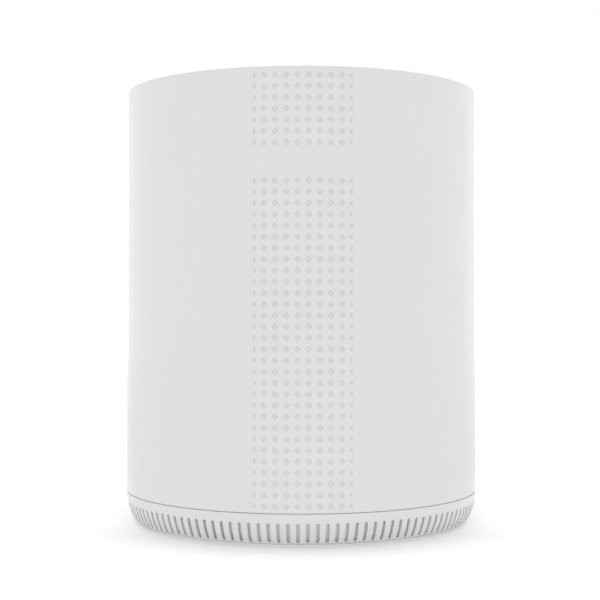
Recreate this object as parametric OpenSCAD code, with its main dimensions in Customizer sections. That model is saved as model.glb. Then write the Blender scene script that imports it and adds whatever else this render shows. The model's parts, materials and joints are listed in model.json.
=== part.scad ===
// Electric food waste composter: an oval countertop machine that dries and grinds food scraps.
// A lift-out bucket with a stirrer stands in a heated pot under a twist-lock lid. A geared motor
// below turns the stirrer, and a blower behind draws the steam through a carbon filter.
// Origin: centre of the plan, on the table. +Z is up and -Y is the front.

/* [Body] */
// Width of the body, which is the diameter of its round front and back
body_w = 279; // [272:1:290]
// Depth of the body from front to back
body_d = 325; // [321:1:340]
// Height of the body's rim above the table
rim_z = 339.5; // [336:0.5:350]
// Wall thickness of the outer shell
shell_wall = 2.6; // [2.2:0.1:3]
// Rounding of the shell's top edge
rim_round = 1.6; // [0.8:0.1:2]

/* [Base] */
// Gap between the table and the underside of the vent skirt
skirt_lift = 2.5; // [2:0.1:4]
// Height of the vent skirt
skirt_h = 22.6; // [20:0.1:26]
// Radius of the curve that draws the skirt in towards the table
skirt_curve = 40; // [34:1:48]
// Rounding where that curve turns under the base
skirt_turn = 4; // [3.5:0.1:4.5]
// Wall thickness of the skirt
skirt_wall = 2.4; // [2:0.1:2.8]
// Height of the groove that shows between shell and skirt
seam_h = 0.8; // [0.5:0.1:1.2]
// Number of vent slots round each half circle of the skirt
slots_half = 62; // [40:1:64]
// Number of vent slots along each straight side of the skirt
slots_side = 7; // [5:1:7]
// Width of a vent slot
slot_w = 2.6; // [1.8:0.1:3]
// Height of a vent slot
slot_h = 14.2; // [10:0.1:14.6]
// Height of the lower end of the slots above the skirt's underside
slot_lift = 1.9; // [1.7:0.1:3.5]
// Thickness of the base plate
base_t = 2.5; // [2:0.1:3.5]
// Radius of a rubber foot
foot_r = 9; // [7:0.5:10]

/* [Front strip] */
// Spacing of the diamond dimples on the front strip
dimple_pitch = 7.88; // [7.4:0.01:8.2]
// Size of a dimple from corner to corner
dimple_size = 5.1; // [3.5:0.1:6]
// Depth of a dimple
dimple_depth = 0.45; // [0.3:0.05:0.6]
// Number of dimple rows above the plain band
rows_above = 7; // [3:1:10]
// Height of the plain band between the two fields of dimples
plain_band = 21.7; // [12:0.1:40]
// Thickness of the strip
strip_t = 1.2; // [1:0.1:1.4]

/* [Bucket] */
// Inner radius of the bucket
bucket_r = 88; // [80:0.5:90]
// Inner depth of the bucket
bucket_depth = 150; // [140:1:155]
// Wall thickness of the bucket
bucket_wall = 2.5; // [2:0.1:3]
// Thickness of the bucket's floor
bucket_floor = 4; // [3:0.1:5]
// Width of the rim flange that carries the bucket
bucket_rim = 4.5; // [4:0.1:5.5]
// Thickness of the rim flange
bucket_rim_t = 3; // [2.5:0.1:4]
// Rounding inside the bottom of the bucket
bucket_round = 12; // [8:0.5:16]

/* [Stirrer] */
// Radius of the stirrer's shaft
stir_shaft_r = 6; // [5:0.1:7]
// Reach of the stirrer's arms from the axis
arm_reach = 82; // [60:0.5:86]
// Thickness of an arm
arm_t = 6; // [4:0.1:7]
// Height from one arm to the next
arm_step = 16; // [15:0.5:18]
// Thickness of the fixed blades on the bucket wall
blade_t = 4; // [3:0.1:5]

/* [Heated pot] */
// Gap between the bucket and the pot
pot_gap = 2.5; // [2:0.1:3.5]
// Wall thickness of the pot
pot_wall = 1.5; // [1.2:0.1:2]
// Height of the band heater
heater_h = 60; // [40:1:70]
// Gap between the pot and the heat shield
shield_gap = 9.5; // [7:0.5:11]

/* [Lid] */
// Play between the bucket rim and the mouth ring
mouth_gap = 6.5; // [6:0.1:8]
// Wall thickness of the mouth ring
mouth_wall = 8.2; // [7.5:0.1:9]
// Thickness of the ledge that holds the lock bar down
ledge_t = 4.5; // [3.5:0.1:5]
// Rise of the lid's top above its edge
lid_crown = 3; // [2:0.1:4]
// Thickness of the lid at its edge
lid_edge = 3.7; // [3:0.1:4.5]
// Radius of the lock dial
dial_r = 49; // [44:0.5:54]
// Length of the grip on the dial
grip_l = 88; // [70:1:92]
// Width of the grip on the dial
grip_w = 15; // [12:0.5:18]
// Height of the grip above the lid's top
grip_h = 14; // [10:0.5:16]
// Angle that the dial turns to lock the lid
lock_angle = 40; // [30:1:45]
// Width of the lock bar at its ends
bar_end_w = 10; // [8:0.5:12]

/* [Drive] */
// Gear tooth size of the slow pair, as its module
slow_module = 1.5; // [1.4:0.05:1.6]
// Gear tooth size of the fast pair, as its module
fast_module = 1.25; // [1.15:0.05:1.3]
// Radius of the output shaft in its upper bearing
out_shaft_r = 7.45; // [6.5:0.05:7.9]
// Radius of the motor's case
motor_r = 33; // [28:0.5:36]
// Length of the motor's case
motor_l = 66; // [55:1:68]
// Height of the gear case inside
gear_room = 36; // [34:0.5:40]
// Thickness of the steel drive plate
plate_t = 2.5; // [2:0.1:3]

/* [Air] */
// Radius of the blower wheel
wheel_r = 27; // [22:0.5:29]
// Number of vanes on the blower wheel
wheel_vanes = 22; // [12:1:26]
// Width of the filter case
filter_w = 124; // [110:1:126]
// Height of the filter case
filter_h = 98; // [84:1:100]
// Depth of the filter case
filter_d = 30; // [24:0.5:32]
// Wall thickness of the filter case
filter_wall = 1.6; // [1.2:0.1:2]
// Size of the cooling fan's square frame
fan_size = 80; // [70:1:84]

/* [Controls] */
// Radius of a push button
button_r = 6.5; // [5:0.1:7.5]
// Angle between the two buttons and the middle of the front
button_angle = 9; // [8:0.5:14]
// Distance that a button travels
button_travel = 1.2; // [0.8:0.1:1.4]

/* [Hidden] */
$fn = 64;

over = 1;             // how far a cutting tool runs past the face that it cuts
seat = 0.3;           // gap left between a moving piece and its seat
play = 0.3;           // side clearance of a piece that slides in or lifts out
running = 0.05;       // radial clearance of a shaft in its bearing

// Plan of the body
body_r = body_w / 2;
oval_c = (body_d - body_w) / 2;      // distance from the origin to each half circle's centre
axis_y = -oval_c;                    // the bucket and its drive are concentric with the round front
inner_r = body_r - shell_wall;

// Heights of the base
skirt_top = skirt_lift + skirt_h;
plate_seat_z = skirt_lift + skirt_wall;   // the base plate lies on the skirt's inner lip
base_top = plate_seat_z + base_t;
lip_w = 13;                               // how far the skirt's lip reaches in from the outer face
base_inset = skirt_curve - (skirt_curve - skirt_turn) * sqrt(1 - pow(turn_sin(), 2)) + 0.4;
upstand_t = 2.2;                          // rib of the skirt that stands inside the shell
upstand_h = 6;

// Front strip
strip_columns = 9;                        // dimple spacings across the strip
strip_step = dimple_pitch / body_r * 180 / PI;
strip_half = strip_columns / 2 * strip_step - 0.05;
strip_low = skirt_top + seam_h;
strip_high = rim_z - rim_round - 0.6;
first_row = strip_high - 4.25;             // height of the top row of dimples
last_above = first_row - (rows_above - 1) * dimple_pitch;
first_below = last_above - dimple_size - plain_band;
rows_below = 1 + round((first_below - strip_low - 4.4) / dimple_pitch);

// Heights from the rim down
deck_drop = 0.5;
deck_t = 2.5;
deck_z = rim_z - deck_drop;               // top of the deck and of the mouth ring
lid_z = deck_z + seat;                    // underside of the lid's edge
groove_h = 4;
groove_z = deck_z - ledge_t - groove_h;   // floor of the mouth ring's lock groove
bar_t = 3;
bar_z = groove_z + (groove_h - bar_t) / 2;
liner_t = 1.5;
liner_z = groove_z - 4;                   // underside of the lid's liner
bail_room = 8.5;
bucket_z = liner_z - bail_room;           // top of the bucket's rim
pot_z = bucket_z - bucket_rim_t - seat;   // top of the pot's flange
pot_flange_t = 2;
seal_t = 2;
mouth_z = pot_z + seal_t;                 // underside of the mouth ring
mouth_flange_t = 3;
floor_z = bucket_z - bucket_depth;        // inside of the bucket's floor
bucket_low = floor_z - bucket_floor;
pot_floor_z = bucket_low - 4;             // inside of the pot's floor
pot_low = pot_floor_z - 2;
standoff_h = 13.5;
plate_z = pot_low - standoff_h - plate_t; // underside of the drive plate
cover_t = 3.5;
cover_z = plate_z - cover_t;              // underside of the gear cover
case_floor_t = 4;
case_floor = cover_z - gear_room;         // inside of the gear case's floor
case_low = case_floor - case_floor_t;     // underside of the gear case, where the motor bolts on

// Radii round the bucket's axis
bucket_out = bucket_r + bucket_wall;
rim_r = bucket_out + bucket_rim;
pot_r = bucket_out + pot_gap;
pot_out = pot_r + pot_wall;
shield_r = pot_out + shield_gap;
shield_t = 0.8;
mouth_r = rim_r + mouth_gap;
mouth_out = mouth_r + mouth_wall;
flange_r = mouth_out + 8;
deck_hole_r = mouth_out + play;
lid_r = mouth_out - 0.7;
liner_r = mouth_r - 1.5;
groove_depth = 5;
bar_l = mouth_r + groove_depth - 1;       // half length of the lock bar
plate_r = flange_r - 5;

// Stirrer and couplings
tower_r = 18;                             // post in the bucket's floor that the shaft comes up through
tower_h = 22;
tower_cap = 8;
bush_wall = 3;
spline_n = 6;
spline_root = 8;
spline_tip = 9.8;
spline_w = 4;
spline_play = 0.35;
coupler_r = 13;
hub_r = 13;
arm_z = floor_z + tower_h + 4.5;          // underside of the lowest arm
hub_h = 2 * arm_step + arm_t + 6;

// Gears
pressure_angle = 25;
slow_teeth = [64, 16];                    // output gear and the pinion that drives it
fast_teeth = [56, 14];                    // idler's large gear and the motor's pinion
tooth_play = 0.16;                        // backlash along the pitch circle
slow_centres = slow_module * (slow_teeth[0] + slow_teeth[1]) / 2;
fast_centres = fast_module * (fast_teeth[0] + fast_teeth[1]) / 2;
idler_y = axis_y + slow_centres;
motor_y = idler_y + fast_centres;
slow_z = case_floor + 9;                  // underside of the output gear
slow_w = 12;
fast_z = slow_z + slow_w + 3;             // underside of the idler's large gear
fast_w = 8;
idler_pin_r = 5;
motor_shaft_r = 4;
case_wall = 3;
case_gap = 3.5;                           // between a gear's teeth and the case's wall
bearing_w = 9;
upper_bearing_r = 16;
lower_shaft_r = 5.95;
lower_bearing_r = 14;
lower_bearing_w = 8;

// Rear: blower above, filter below
duct_w = 36;
duct_t = 9;                               // thickness of the duct behind the flanges
duct_h = 7.6;                             // height of the duct where it leaves the mouth ring
duct_wall = 1.2;
duct_z = mouth_z + mouth_flange_t + 0.3;
blower_y = axis_y + flange_r + 0.8 + duct_t;
blower_w = 26;
blower_wall = 2;
blower_z = deck_z - 67;                   // height of the blower's axis
scroll_r = wheel_r + 13;
inlet_r = 13;
outlet_x = [14, scroll_r - 2];            // left and right of the blower's downward outlet
// inner radius of the gear case round the motor's pinion, less its teeth
motor_room = 13;
bay_wall = 2;
bay_top = blower_z - scroll_r - 0.4;      // top of the filter bay
bay_y = motor_y + fast_module * (fast_teeth[1] / 2 + 1) + motor_room + 0.8;
bay_w = filter_w + 2 * (bay_wall + 2);
bay_h = filter_h + 2 * bay_wall + 12;
bay_low = bay_top - bay_h;
filter_y = bay_y + bay_wall + 5;
filter_z = bay_low + bay_wall + seat;
door_gap = 0.5;
door_over = 2;                            // how far the door reaches past the bay all round
door_w = bay_w + 2 * door_over;
door_h = bay_h + 2 * door_over;
door_z = bay_low - door_over;

// Controls on the deck's front
panel_r = [deck_hole_r + 3.2, body_r - 6];
panel_mid = (panel_r[0] + panel_r[1]) / 2;
panel_half = 30;                          // half of the panel's angle
panel_t = 1;
panel_sink = 0.8;
board_t = 1.6;
board_z = deck_z - deck_t - 9.5;
board_top = board_z + board_t;
lens_r = 1.5;
lens_angles = [-4, 0, 4];

// Screws and posts
screw_r = 1.75;
head_r = 3.4;
head_h = 2.2;
boss_r = 4.5;
shell_boss_in = 17;                       // shell bosses' distance in from the outer face
shell_boss_angles = [35, 90, 145, 215, 270, 325];
deck_boss_in = 8.5;
deck_boss_angles = [30, 150, 210, 330];
pillar_ring = 100;
pillar_angles = [45, 135, 225, 315];
pillar_r = 5;
standoff_ring = 62;
foot_spots = [for (a = [28, 152, 208, 332]) on_oval(a, lip_w + foot_r + 9)];
peg_r = 3;

// Base equipment
fan_y = axis_y - 69;
fan_z = base_top + 4;
fan_t = 25;
fan_bore = fan_size / 2 - 2;
inlet_z = 62;                             // height of the mains inlet's middle
inlet_size = [27, 20];
inlet_flange = [31, 24];
inlet_flange_t = 2;
inlet_depth = 22;
// corners of the power board on the base plate
board_box = [[body_r - 87.5, axis_y - 47], [body_r - 27.5, axis_y + 53]];
power_board_z = base_top + 9;

// Height of the turn's centre below the skirt's top, as the sine of its angle in the main curve
function turn_sin() = (skirt_h - skirt_turn) / (skirt_curve - skirt_turn);
// A point at radius r and angle a round the bucket's axis
function round_axis(r, a) = [r * cos(a), axis_y + r * sin(a)];
// A point on the oval plan, in from the outer face by d, at angle a
function on_oval(a, d) =
    [(body_r - d) * cos(a),
        (sin(a) > 0.02 ? oval_c : sin(a) < -0.02 ? -oval_c : 0) + (body_r - d) * sin(a)];
// Involute gear outline: teeth, module, and a list of points round the wheel
function involute(a) = tan(a) * 180 / PI - a;
function tooth_half(r, n, m) =
    90 / n - tooth_play / 4 / (n * m / 2) * 180 / PI + involute(pressure_angle)
    - involute(acos(min(1, n * m / 2 * cos(pressure_angle) / r)));
function polar(r, a) = [r * cos(a), r * sin(a)];
function gear_points(n, m) = let (
        pitch = n * m / 2,
        root = pitch - 1.2 * m,
        start = max(root + 0.01, pitch * cos(pressure_angle)),
        tip = pitch + 0.95 * m,
        steps = 4
    ) [for (i = [0:n - 1]) let (mid = 360 * i / n) each [
        polar(root, mid - tooth_half(start, n, m) - 0.2),
        for (k = [0:steps]) let (r = start + (tip - start) * k / steps) polar(r, mid - tooth_half(r, n, m)),
        for (k = [steps:-1:0]) let (r = start + (tip - start) * k / steps)
            polar(r, mid + tooth_half(r, n, m)),
        polar(root, mid + tooth_half(start, n, m) + 0.2)
    ]];

// ---- shared shapes ----

// Sweeps a profile round the oval plan: x = 0 is the outer face and y is the height.
module sweep_oval() {
    for (back = [0, 180]) rotate([0, 0, back]) translate([0, oval_c, 0]) {
        rotate_extrude(angle = 180) translate([body_r, 0]) children();
    }
    for (side = [0, 180]) rotate([0, 0, side]) translate([body_r, oval_c, 0]) {
        rotate([90, 0, 0]) linear_extrude(2 * oval_c) children();
    }
}

// The oval plan, in from the outer face by d
module oval2d(d) {
    for (s = [-1, 1]) translate([0, s * oval_c]) circle(body_r - d);
    square([2 * (body_r - d), 2 * oval_c], center = true);
}

module ring(r_out, r_in, h) {
    linear_extrude(h) difference() {
        circle(r_out);
        circle(r_in);
    }
}

// A slice of a ring from angle a0 over a degrees
module ring_slice(r_out, r_in, h, a0, a) {
    rotate([0, 0, a0]) rotate_extrude(angle = a) translate([r_in, 0]) square([r_out - r_in, h]);
}

// Upright round-ended slot, cut along +X from the origin
module slot_tool(w, h, depth) {
    rotate([90, 0, 90]) linear_extrude(depth) {
        translate([-w / 2, w / 2]) square([w, h - w]);
        translate([0, w / 2]) circle(w / 2);
        translate([0, h - w / 2]) circle(w / 2);
    }
}

// Half profile of a round cup: outer radius, height, corner rounding
module cup2d(r, h, corner) {
    square([r - corner, h]);
    translate([0, corner]) square([r, h - corner]);
    translate([r - corner, corner]) circle(corner);
}

// Pan-head screw, head at the origin and shank going up
module screw_up(l, r = screw_r) {
    translate([0, 0, -head_h]) cylinder(r = head_r, h = head_h);
    cylinder(r = r, h = l);
}

module at_axis() {
    translate([0, axis_y, 0]) children();
}

module rounded_rect(size, r) {
    translate([r - size[0] / 2, -size[1] / 2]) square([size[0] - 2 * r, size[1]]);
    translate([-size[0] / 2, r - size[1] / 2]) square([size[0], size[1] - 2 * r]);
    for (x = [-1, 1], y = [-1, 1]) translate([x * (size[0] / 2 - r), y * (size[1] / 2 - r)]) circle(r);
}

// ---- housing ----

module shell_profile() {
    difference() {
        translate([-shell_wall, skirt_top]) square([shell_wall, rim_z - skirt_top]);
        translate([-shell_wall / 2, skirt_top - over]) square([shell_wall, over + seam_h]);
        difference() {
            translate([-rim_round, rim_z - rim_round]) square(rim_round + over);
            translate([-rim_round, rim_z - rim_round]) circle(rim_round);
        }
    }
}

// The rear opening that the filter door fills, grown by d all round
module door_block(d, y0) {
    translate([-door_w / 2 - d, y0, door_z - d]) cube([door_w + 2 * d, body_d, door_h + 2 * d]);
}

// The curved slab of the front strip, reaching out past the face by extra
module strip_slab(extra) {
    translate([0, axis_y, strip_low])
        ring_slice(body_r + extra, body_r - strip_t, strip_high - strip_low, -90 - strip_half,
            2 * strip_half, $fn = 360);
}

module outer_shell() {
    boss_h = 38;
    web_z = skirt_top + upstand_h + 2;
    pad = 4;
    color("whitesmoke") difference() {
        union() {
            sweep_oval() shell_profile();
            for (a = shell_boss_angles) let (p = on_oval(a, shell_boss_in)) {
                translate([p[0], p[1], base_top]) cylinder(r = boss_r, h = boss_h);
                translate([p[0], p[1], web_z]) rotate([0, 0, a]) translate([0, -1.25, 0])
                    cube([shell_boss_in - shell_wall / 2, 2.5, base_top + boss_h - web_z]);
            }
            for (a = deck_boss_angles) let (p = on_oval(a, deck_boss_in)) {
                translate([p[0], p[1], deck_z - 24]) cylinder(r = boss_r, h = 12);
                translate([p[0], p[1], deck_z - 24]) rotate([0, 0, a]) translate([0, -1.25, 0])
                    cube([deck_boss_in - shell_wall / 2, 2.5, 12]);
            }
            translate([-inlet_flange[0] / 2 - pad, body_d / 2 - 7, inlet_z - inlet_flange[1] / 2 - pad])
                cube([inlet_flange[0] + 2 * pad, 5.5, inlet_flange[1] + 2 * pad]);
        }
        for (a = shell_boss_angles) let (p = on_oval(a, shell_boss_in))
            translate([p[0], p[1], base_top - over]) cylinder(r = screw_r, h = 20 + over);
        for (a = deck_boss_angles) let (p = on_oval(a, deck_boss_in))
            translate([p[0], p[1], deck_z - 24 - over]) cylinder(r = screw_r + play, h = 12 + 2 * over);
        strip_slab(over);
        door_block(door_gap, oval_c + body_r / 2);
        translate([0, body_d / 2 - inlet_flange_t, inlet_z]) rotate([-90, 0, 0]) linear_extrude(10)
            rounded_rect([inlet_flange[0] + 2 * play, inlet_flange[1] + 2 * play], 2);
        translate([0, body_d / 2 - 20, inlet_z]) rotate([-90, 0, 0]) linear_extrude(30)
            square([inlet_size[0] + 2 * play, inlet_size[1] + 2 * play], center = true);
    }
}

module dimple_column() {
    side = dimple_size / sqrt(2);
    rotate([90, 0, 90]) linear_extrude(dimple_depth + over) {
        for (k = [0:rows_above - 1]) translate([0, first_row - k * dimple_pitch])
            rotate(45) square(side, center = true);
        for (k = [0:rows_below - 1]) translate([0, first_below - k * dimple_pitch])
            rotate(45) square(side, center = true);
    }
}

module front_strip() {
    color("whitesmoke") difference() {
        strip_slab(0);
        for (k = [0:strip_columns]) at_axis() rotate([0, 0, -90 + (k - strip_columns / 2) * strip_step])
            translate([body_r - dimple_depth, 0, 0]) dimple_column();
    }
}

// Region inside the skirt's curve, moved in by d, from the lip's inner edge outwards. The turn's
// circle stands out by a hair, so that the curves cross instead of touching.
module belly2d(d) {
    turn_x = -skirt_curve + (skirt_curve - skirt_turn) * sqrt(1 - pow(turn_sin(), 2));
    tangent_z = skirt_h - (skirt_curve - d) * turn_sin();
    hair = 0.01;
    intersection() {
        translate([-skirt_curve, skirt_h]) circle(skirt_curve - d);
        translate([-lip_w - over, d]) square([lip_w + 2 * over, skirt_h - d]);
        union() {
            translate([-lip_w - over, tangent_z]) square([lip_w + 2 * over, skirt_h - tangent_z]);
            translate([-lip_w - over, d]) square([turn_x + lip_w + over, tangent_z - d]);
            translate([turn_x + hair, skirt_turn - hair]) circle(skirt_turn - d);
        }
    }
}

module skirt_profile() {
    upstand_x = -shell_wall - play - upstand_t;
    translate([0, skirt_lift]) {
        difference() {
            belly2d(0);
            belly2d(skirt_wall);
            translate([-lip_w - 2 * over, -over]) square([2 * over, skirt_h + 2 * over]);
        }
        intersection() {
            belly2d(0);
            translate([upstand_x, skirt_h - 3]) square([-upstand_x + over, 3]);
        }
        translate([upstand_x, skirt_h - 3]) square([upstand_t, 3 + upstand_h]);
    }
}

module vent_skirt() {
    depth = base_inset - 0.2;                      // stops short of the base plate's edge
    start = [body_r - depth + over, 0, skirt_lift + slot_lift];
    side_pitch = 2 * oval_c / slots_side;
    color("whitesmoke") difference() {
        sweep_oval() skirt_profile();
        for (back = [0, 180], k = [0.5:slots_half]) rotate([0, 0, back]) translate([0, oval_c, 0])
            rotate([0, 0, k * 180 / slots_half]) translate(start) slot_tool(slot_w, slot_h, depth);
        for (side = [0, 180], k = [0.5:slots_side]) rotate([0, 0, side])
            translate([0, k * side_pitch - oval_c, 0]) translate(start) slot_tool(slot_w, slot_h, depth);
    }
}

module base_plate() {
    vent_l = fan_size - 14;
    vents = 8;
    color("gainsboro") difference() {
        union() {
            translate([0, 0, plate_seat_z]) linear_extrude(base_t) oval2d(base_inset);
            for (x = [-1, 1], y = [-1, 1])
                translate([x * (fan_size / 2 - 5), fan_y + y * (fan_size / 2 - 5), base_top - over])
                    cylinder(r = 3.5, h = fan_z - base_top + over);
            for (x = [board_box[0][0] + 5, board_box[1][0] - 5],
                y = [board_box[0][1] + 5, board_box[1][1] - 5])
                translate([x, y, base_top - over]) cylinder(r = 3.5, h = power_board_z - base_top + over);
        }
        for (k = [0:vents - 1])
            translate([-vent_l / 2, fan_y - fan_size / 2 + 10 + k * (fan_size - 20) / (vents - 1) - 2, 0])
                cube([vent_l, 4, base_top + over]);
        for (p = foot_spots) translate([p[0], p[1], 0]) cylinder(r = peg_r + running, h = base_top + over);
        for (a = shell_boss_angles) let (p = on_oval(a, shell_boss_in))
            translate([p[0], p[1], 0]) cylinder(r = screw_r + play, h = base_top + over);
        for (a = pillar_angles) let (p = round_axis(pillar_ring, a))
            translate([p[0], p[1], 0]) cylinder(r = screw_r + play, h = base_top + over);
    }
}

module rubber_feet() {
    color("dimgray") for (p = foot_spots) translate([p[0], p[1], 0]) {
        rotate_extrude() {
            square([foot_r - 1, plate_seat_z]);
            translate([0, 1]) square([foot_r, plate_seat_z - 1]);
            translate([foot_r - 1, 1]) circle(1);
        }
        cylinder(r = peg_r, h = base_top + 1);
    }
}

module housing_screws() {
    color("silver") {
        for (a = shell_boss_angles) let (p = on_oval(a, shell_boss_in))
            translate([p[0], p[1], plate_seat_z]) screw_up(base_t + 16);
        for (a = deck_boss_angles) let (p = on_oval(a, deck_boss_in))
            translate([p[0], p[1], deck_z - 24]) screw_up(19);
        for (a = pillar_angles) let (p = round_axis(pillar_ring, a))
            translate([p[0], p[1], plate_seat_z]) screw_up(base_t + 8);
    }
}

module panel_slice(r0, r1, h, half) {
    at_axis() ring_slice(r1, r0, h, -90 - half, 2 * half);
}

module top_deck() {
    collar_t = 2.5;
    collar_h = 6;
    lip_t = 2;
    lip_h = 7;
    color("whitesmoke") difference() {
        union() {
            translate([0, 0, deck_z - deck_t]) linear_extrude(deck_t) oval2d(shell_wall + play);
            at_axis() translate([0, 0, deck_z - collar_h])
                cylinder(r = deck_hole_r + collar_t, h = collar_h);
            translate([0, 0, deck_z - lip_h]) linear_extrude(lip_h) difference() {
                oval2d(shell_wall + play);
                oval2d(shell_wall + play + lip_t);
            }
            for (a = deck_boss_angles) let (p = on_oval(a, deck_boss_in))
                translate([p[0], p[1], deck_z - 12]) cylinder(r = boss_r, h = 12 - over);
            for (a = [-90 - 25, -90 + 25]) let (p = round_axis(panel_mid, a))
                translate([p[0], p[1], board_top]) cylinder(r = 3, h = deck_z - over - board_top);
        }
        at_axis() translate([0, 0, deck_z - 20]) cylinder(r = deck_hole_r, h = 20 + over);
        for (a = deck_boss_angles) let (p = on_oval(a, deck_boss_in))
            translate([p[0], p[1], deck_z - 12 - over]) cylinder(r = screw_r, h = 8 + over);
        translate([0, 0, deck_z - panel_sink])
            panel_slice(panel_r[0] - play, panel_r[1] + play, over + panel_sink, panel_half + 0.3);
        for (s = [-1, 1]) let (p = round_axis(panel_mid, -90 + s * button_angle))
            translate([p[0], p[1], deck_z - 20]) cylinder(r = button_r + play, h = 20 + over);
        for (a = lens_angles) let (p = round_axis(panel_r[1] - 5, -90 + a * 5.5))
            translate([p[0], p[1], deck_z - 20]) cylinder(r = lens_r + running, h = 20 + over);
    }
}

// ---- chassis ----

module frame_pillars() {
    color("silver") for (a = pillar_angles) let (p = round_axis(pillar_ring, a))
        translate([p[0], p[1], base_top]) difference() {
            cylinder(r = pillar_r, h = plate_z - base_top, $fn = 6);
            translate([0, 0, -over]) cylinder(r = screw_r, h = 10 + over);
            translate([0, 0, plate_z - base_top - 10]) cylinder(r = screw_r, h = 10 + over);
        }
}

module drive_plate() {
    color("lightsteelblue") translate([0, 0, plate_z]) difference() {
        at_axis() cylinder(r = plate_r, h = plate_t);
        at_axis() translate([0, 0, -over]) cylinder(r = upper_bearing_r + 5, h = plate_t + 2 * over);
        for (a = pillar_angles) let (p = round_axis(pillar_ring, a))
            translate([p[0], p[1], -over]) cylinder(r = screw_r + play, h = plate_t + 2 * over);
        for (a = [0:60:300]) let (p = round_axis(80, a + 15))
            translate([p[0], p[1], -over]) cylinder(r = 9, h = plate_t + 2 * over);
    }
}

module chassis_screws() {
    color("silver") {
        for (a = pillar_angles) let (p = round_axis(pillar_ring, a))
            translate([p[0], p[1], plate_z + plate_t]) rotate([180, 0, 0]) screw_up(plate_t + 8);
        for (a = [15:60:315]) let (p = round_axis(mouth_out + 4, a))
            translate([p[0], p[1], mouth_z + mouth_flange_t]) rotate([180, 0, 0])
                screw_up(mouth_flange_t + seal_t + pot_flange_t + 1);
    }
}

// ---- heated pot ----

module mouth_ring() {
    slack = 4;            // extra turn past each end of the lock bar's travel, in degrees
    end_half = atan((bar_end_w / 2 + play) / mouth_r);
    color("dimgray") at_axis() difference() {
        union() {
            translate([0, 0, mouth_z]) cylinder(r = flange_r, h = mouth_flange_t);
            translate([0, 0, mouth_z]) cylinder(r = mouth_out, h = deck_z - mouth_z);
        }
        translate([0, 0, mouth_z - over]) cylinder(r = mouth_r, h = deck_z - mouth_z + 2 * over);
        for (side = [0, 180]) rotate([0, 0, side]) {
            translate([mouth_r - over, -bar_end_w / 2 - play, groove_z])
                cube([groove_depth + over, bar_end_w + 2 * play, deck_z - groove_z + over]);
            translate([0, 0, groove_z])
                ring_slice(mouth_r + groove_depth, mouth_r - over, groove_h,
                    -lock_angle - end_half - slack, lock_angle + end_half + slack);
        }
        translate([-duct_w / 2 + duct_wall, 0, duct_z + duct_wall])
            cube([duct_w - 2 * duct_wall, mouth_out + over, duct_h - 2 * duct_wall]);
        for (a = [15:60:315]) rotate([0, 0, a]) translate([mouth_out + 4, 0, mouth_z - over])
            cylinder(r = screw_r + play, h = mouth_flange_t + 2 * over);
    }
}

module chamber_seal() {
    color("darkorange") at_axis() translate([0, 0, pot_z]) ring(mouth_out - 1, mouth_out - 5, seal_t);
}

module heater_pot() {
    h = pot_z - pot_low;
    color("silver") at_axis() translate([0, 0, pot_low]) difference() {
        rotate_extrude() difference() {
            union() {
                intersection() {
                    cup2d(pot_out, h, bucket_round + 2);
                    square([pot_out, h]);
                }
                translate([0, h - pot_flange_t]) square([flange_r, pot_flange_t]);
            }
            intersection() {
                translate([0, pot_floor_z - pot_low]) cup2d(pot_r, h, bucket_round);
                translate([0, pot_floor_z - pot_low]) square([pot_r, h]);
            }
            square([out_shaft_r + 2, 3 * over]);
        }
        for (a = [15:60:315]) rotate([0, 0, a]) translate([mouth_out + 4, 0, h - pot_flange_t - over])
            cylinder(r = screw_r, h = pot_flange_t + 2 * over);
    }
}

module band_heater() {
    band_t = 3;
    z0 = pot_low + 22;
    color("goldenrod") at_axis() translate([0, 0, z0]) {
        ring_slice(pot_out + band_t, pot_out, heater_h, -84, 348);
        for (s = [-1, 1]) rotate([0, 0, -90 + s * 8.5])
            translate([pot_out + band_t / 2, -1, heater_h / 2 - 12])
            cube([6, 2, 24]);
    }
}

module heat_shield() {
    color("lightgray") at_axis() translate([0, 0, plate_z + plate_t])
        ring(shield_r + shield_t, shield_r, pot_z - pot_flange_t - plate_z - plate_t - seat);
}

module pot_standoffs() {
    color("silver") for (a = [0:90:270]) let (p = round_axis(standoff_ring, a))
        translate([p[0], p[1], plate_z + plate_t]) cylinder(r = 5, h = standoff_h);
}

// ---- lid ----

boss_spots = [35, 95, 215, 275];          // lid bosses' angles, clear of the lock bar's sweep
boss_ring = 78;
dish_r = dial_r + 1;
dish_z = lid_z + 2.2;                     // floor of the dish that the dial lies in
lid_top = lid_z + lid_edge + lid_crown;
dial_t = lid_top - dish_z - seat - 0.5;
shaft_hole_r = 8.1;
window_slack = 6;

module lid_cover() {
    skin = 2.2;
    color("whitesmoke") at_axis() difference() {
        union() {
            translate([0, 0, lid_z]) rotate_extrude() difference() {
                polygon([[0, 0], [lid_r, 0], [lid_r, lid_edge], [dish_r + 3, lid_edge + lid_crown],
                    [0, lid_edge + lid_crown]]);
                difference() {
                    translate([lid_r - 1.5, lid_edge - 1.5]) square(3);
                    translate([lid_r - 1.5, lid_edge - 1.5]) circle(1.5);
                }
                translate([0, dish_z - lid_z]) square([dish_r, lid_edge + lid_crown]);
                polygon([[dish_r + skin, -over], [liner_r - skin, -over],
                    [liner_r - skin, lid_edge - skin + 0.3],
                    [dish_r + skin, lid_edge + lid_crown - skin]]);
            }
            for (a = boss_spots) rotate([0, 0, a]) translate([boss_ring, 0, liner_z + liner_t])
                cylinder(r = boss_r, h = lid_z + lid_edge - liner_z - liner_t);
            translate([0, 0, bar_z + bar_t + seat])
                cylinder(r = shaft_hole_r + 4, h = dish_z - bar_z - bar_t - seat - over);
        }
        translate([0, 0, liner_z]) cylinder(r = shaft_hole_r, h = lid_top - liner_z);
        for (a = boss_spots) rotate([0, 0, a]) translate([boss_ring, 0, liner_z])
            cylinder(r = screw_r, h = 9);
    }
}

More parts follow.
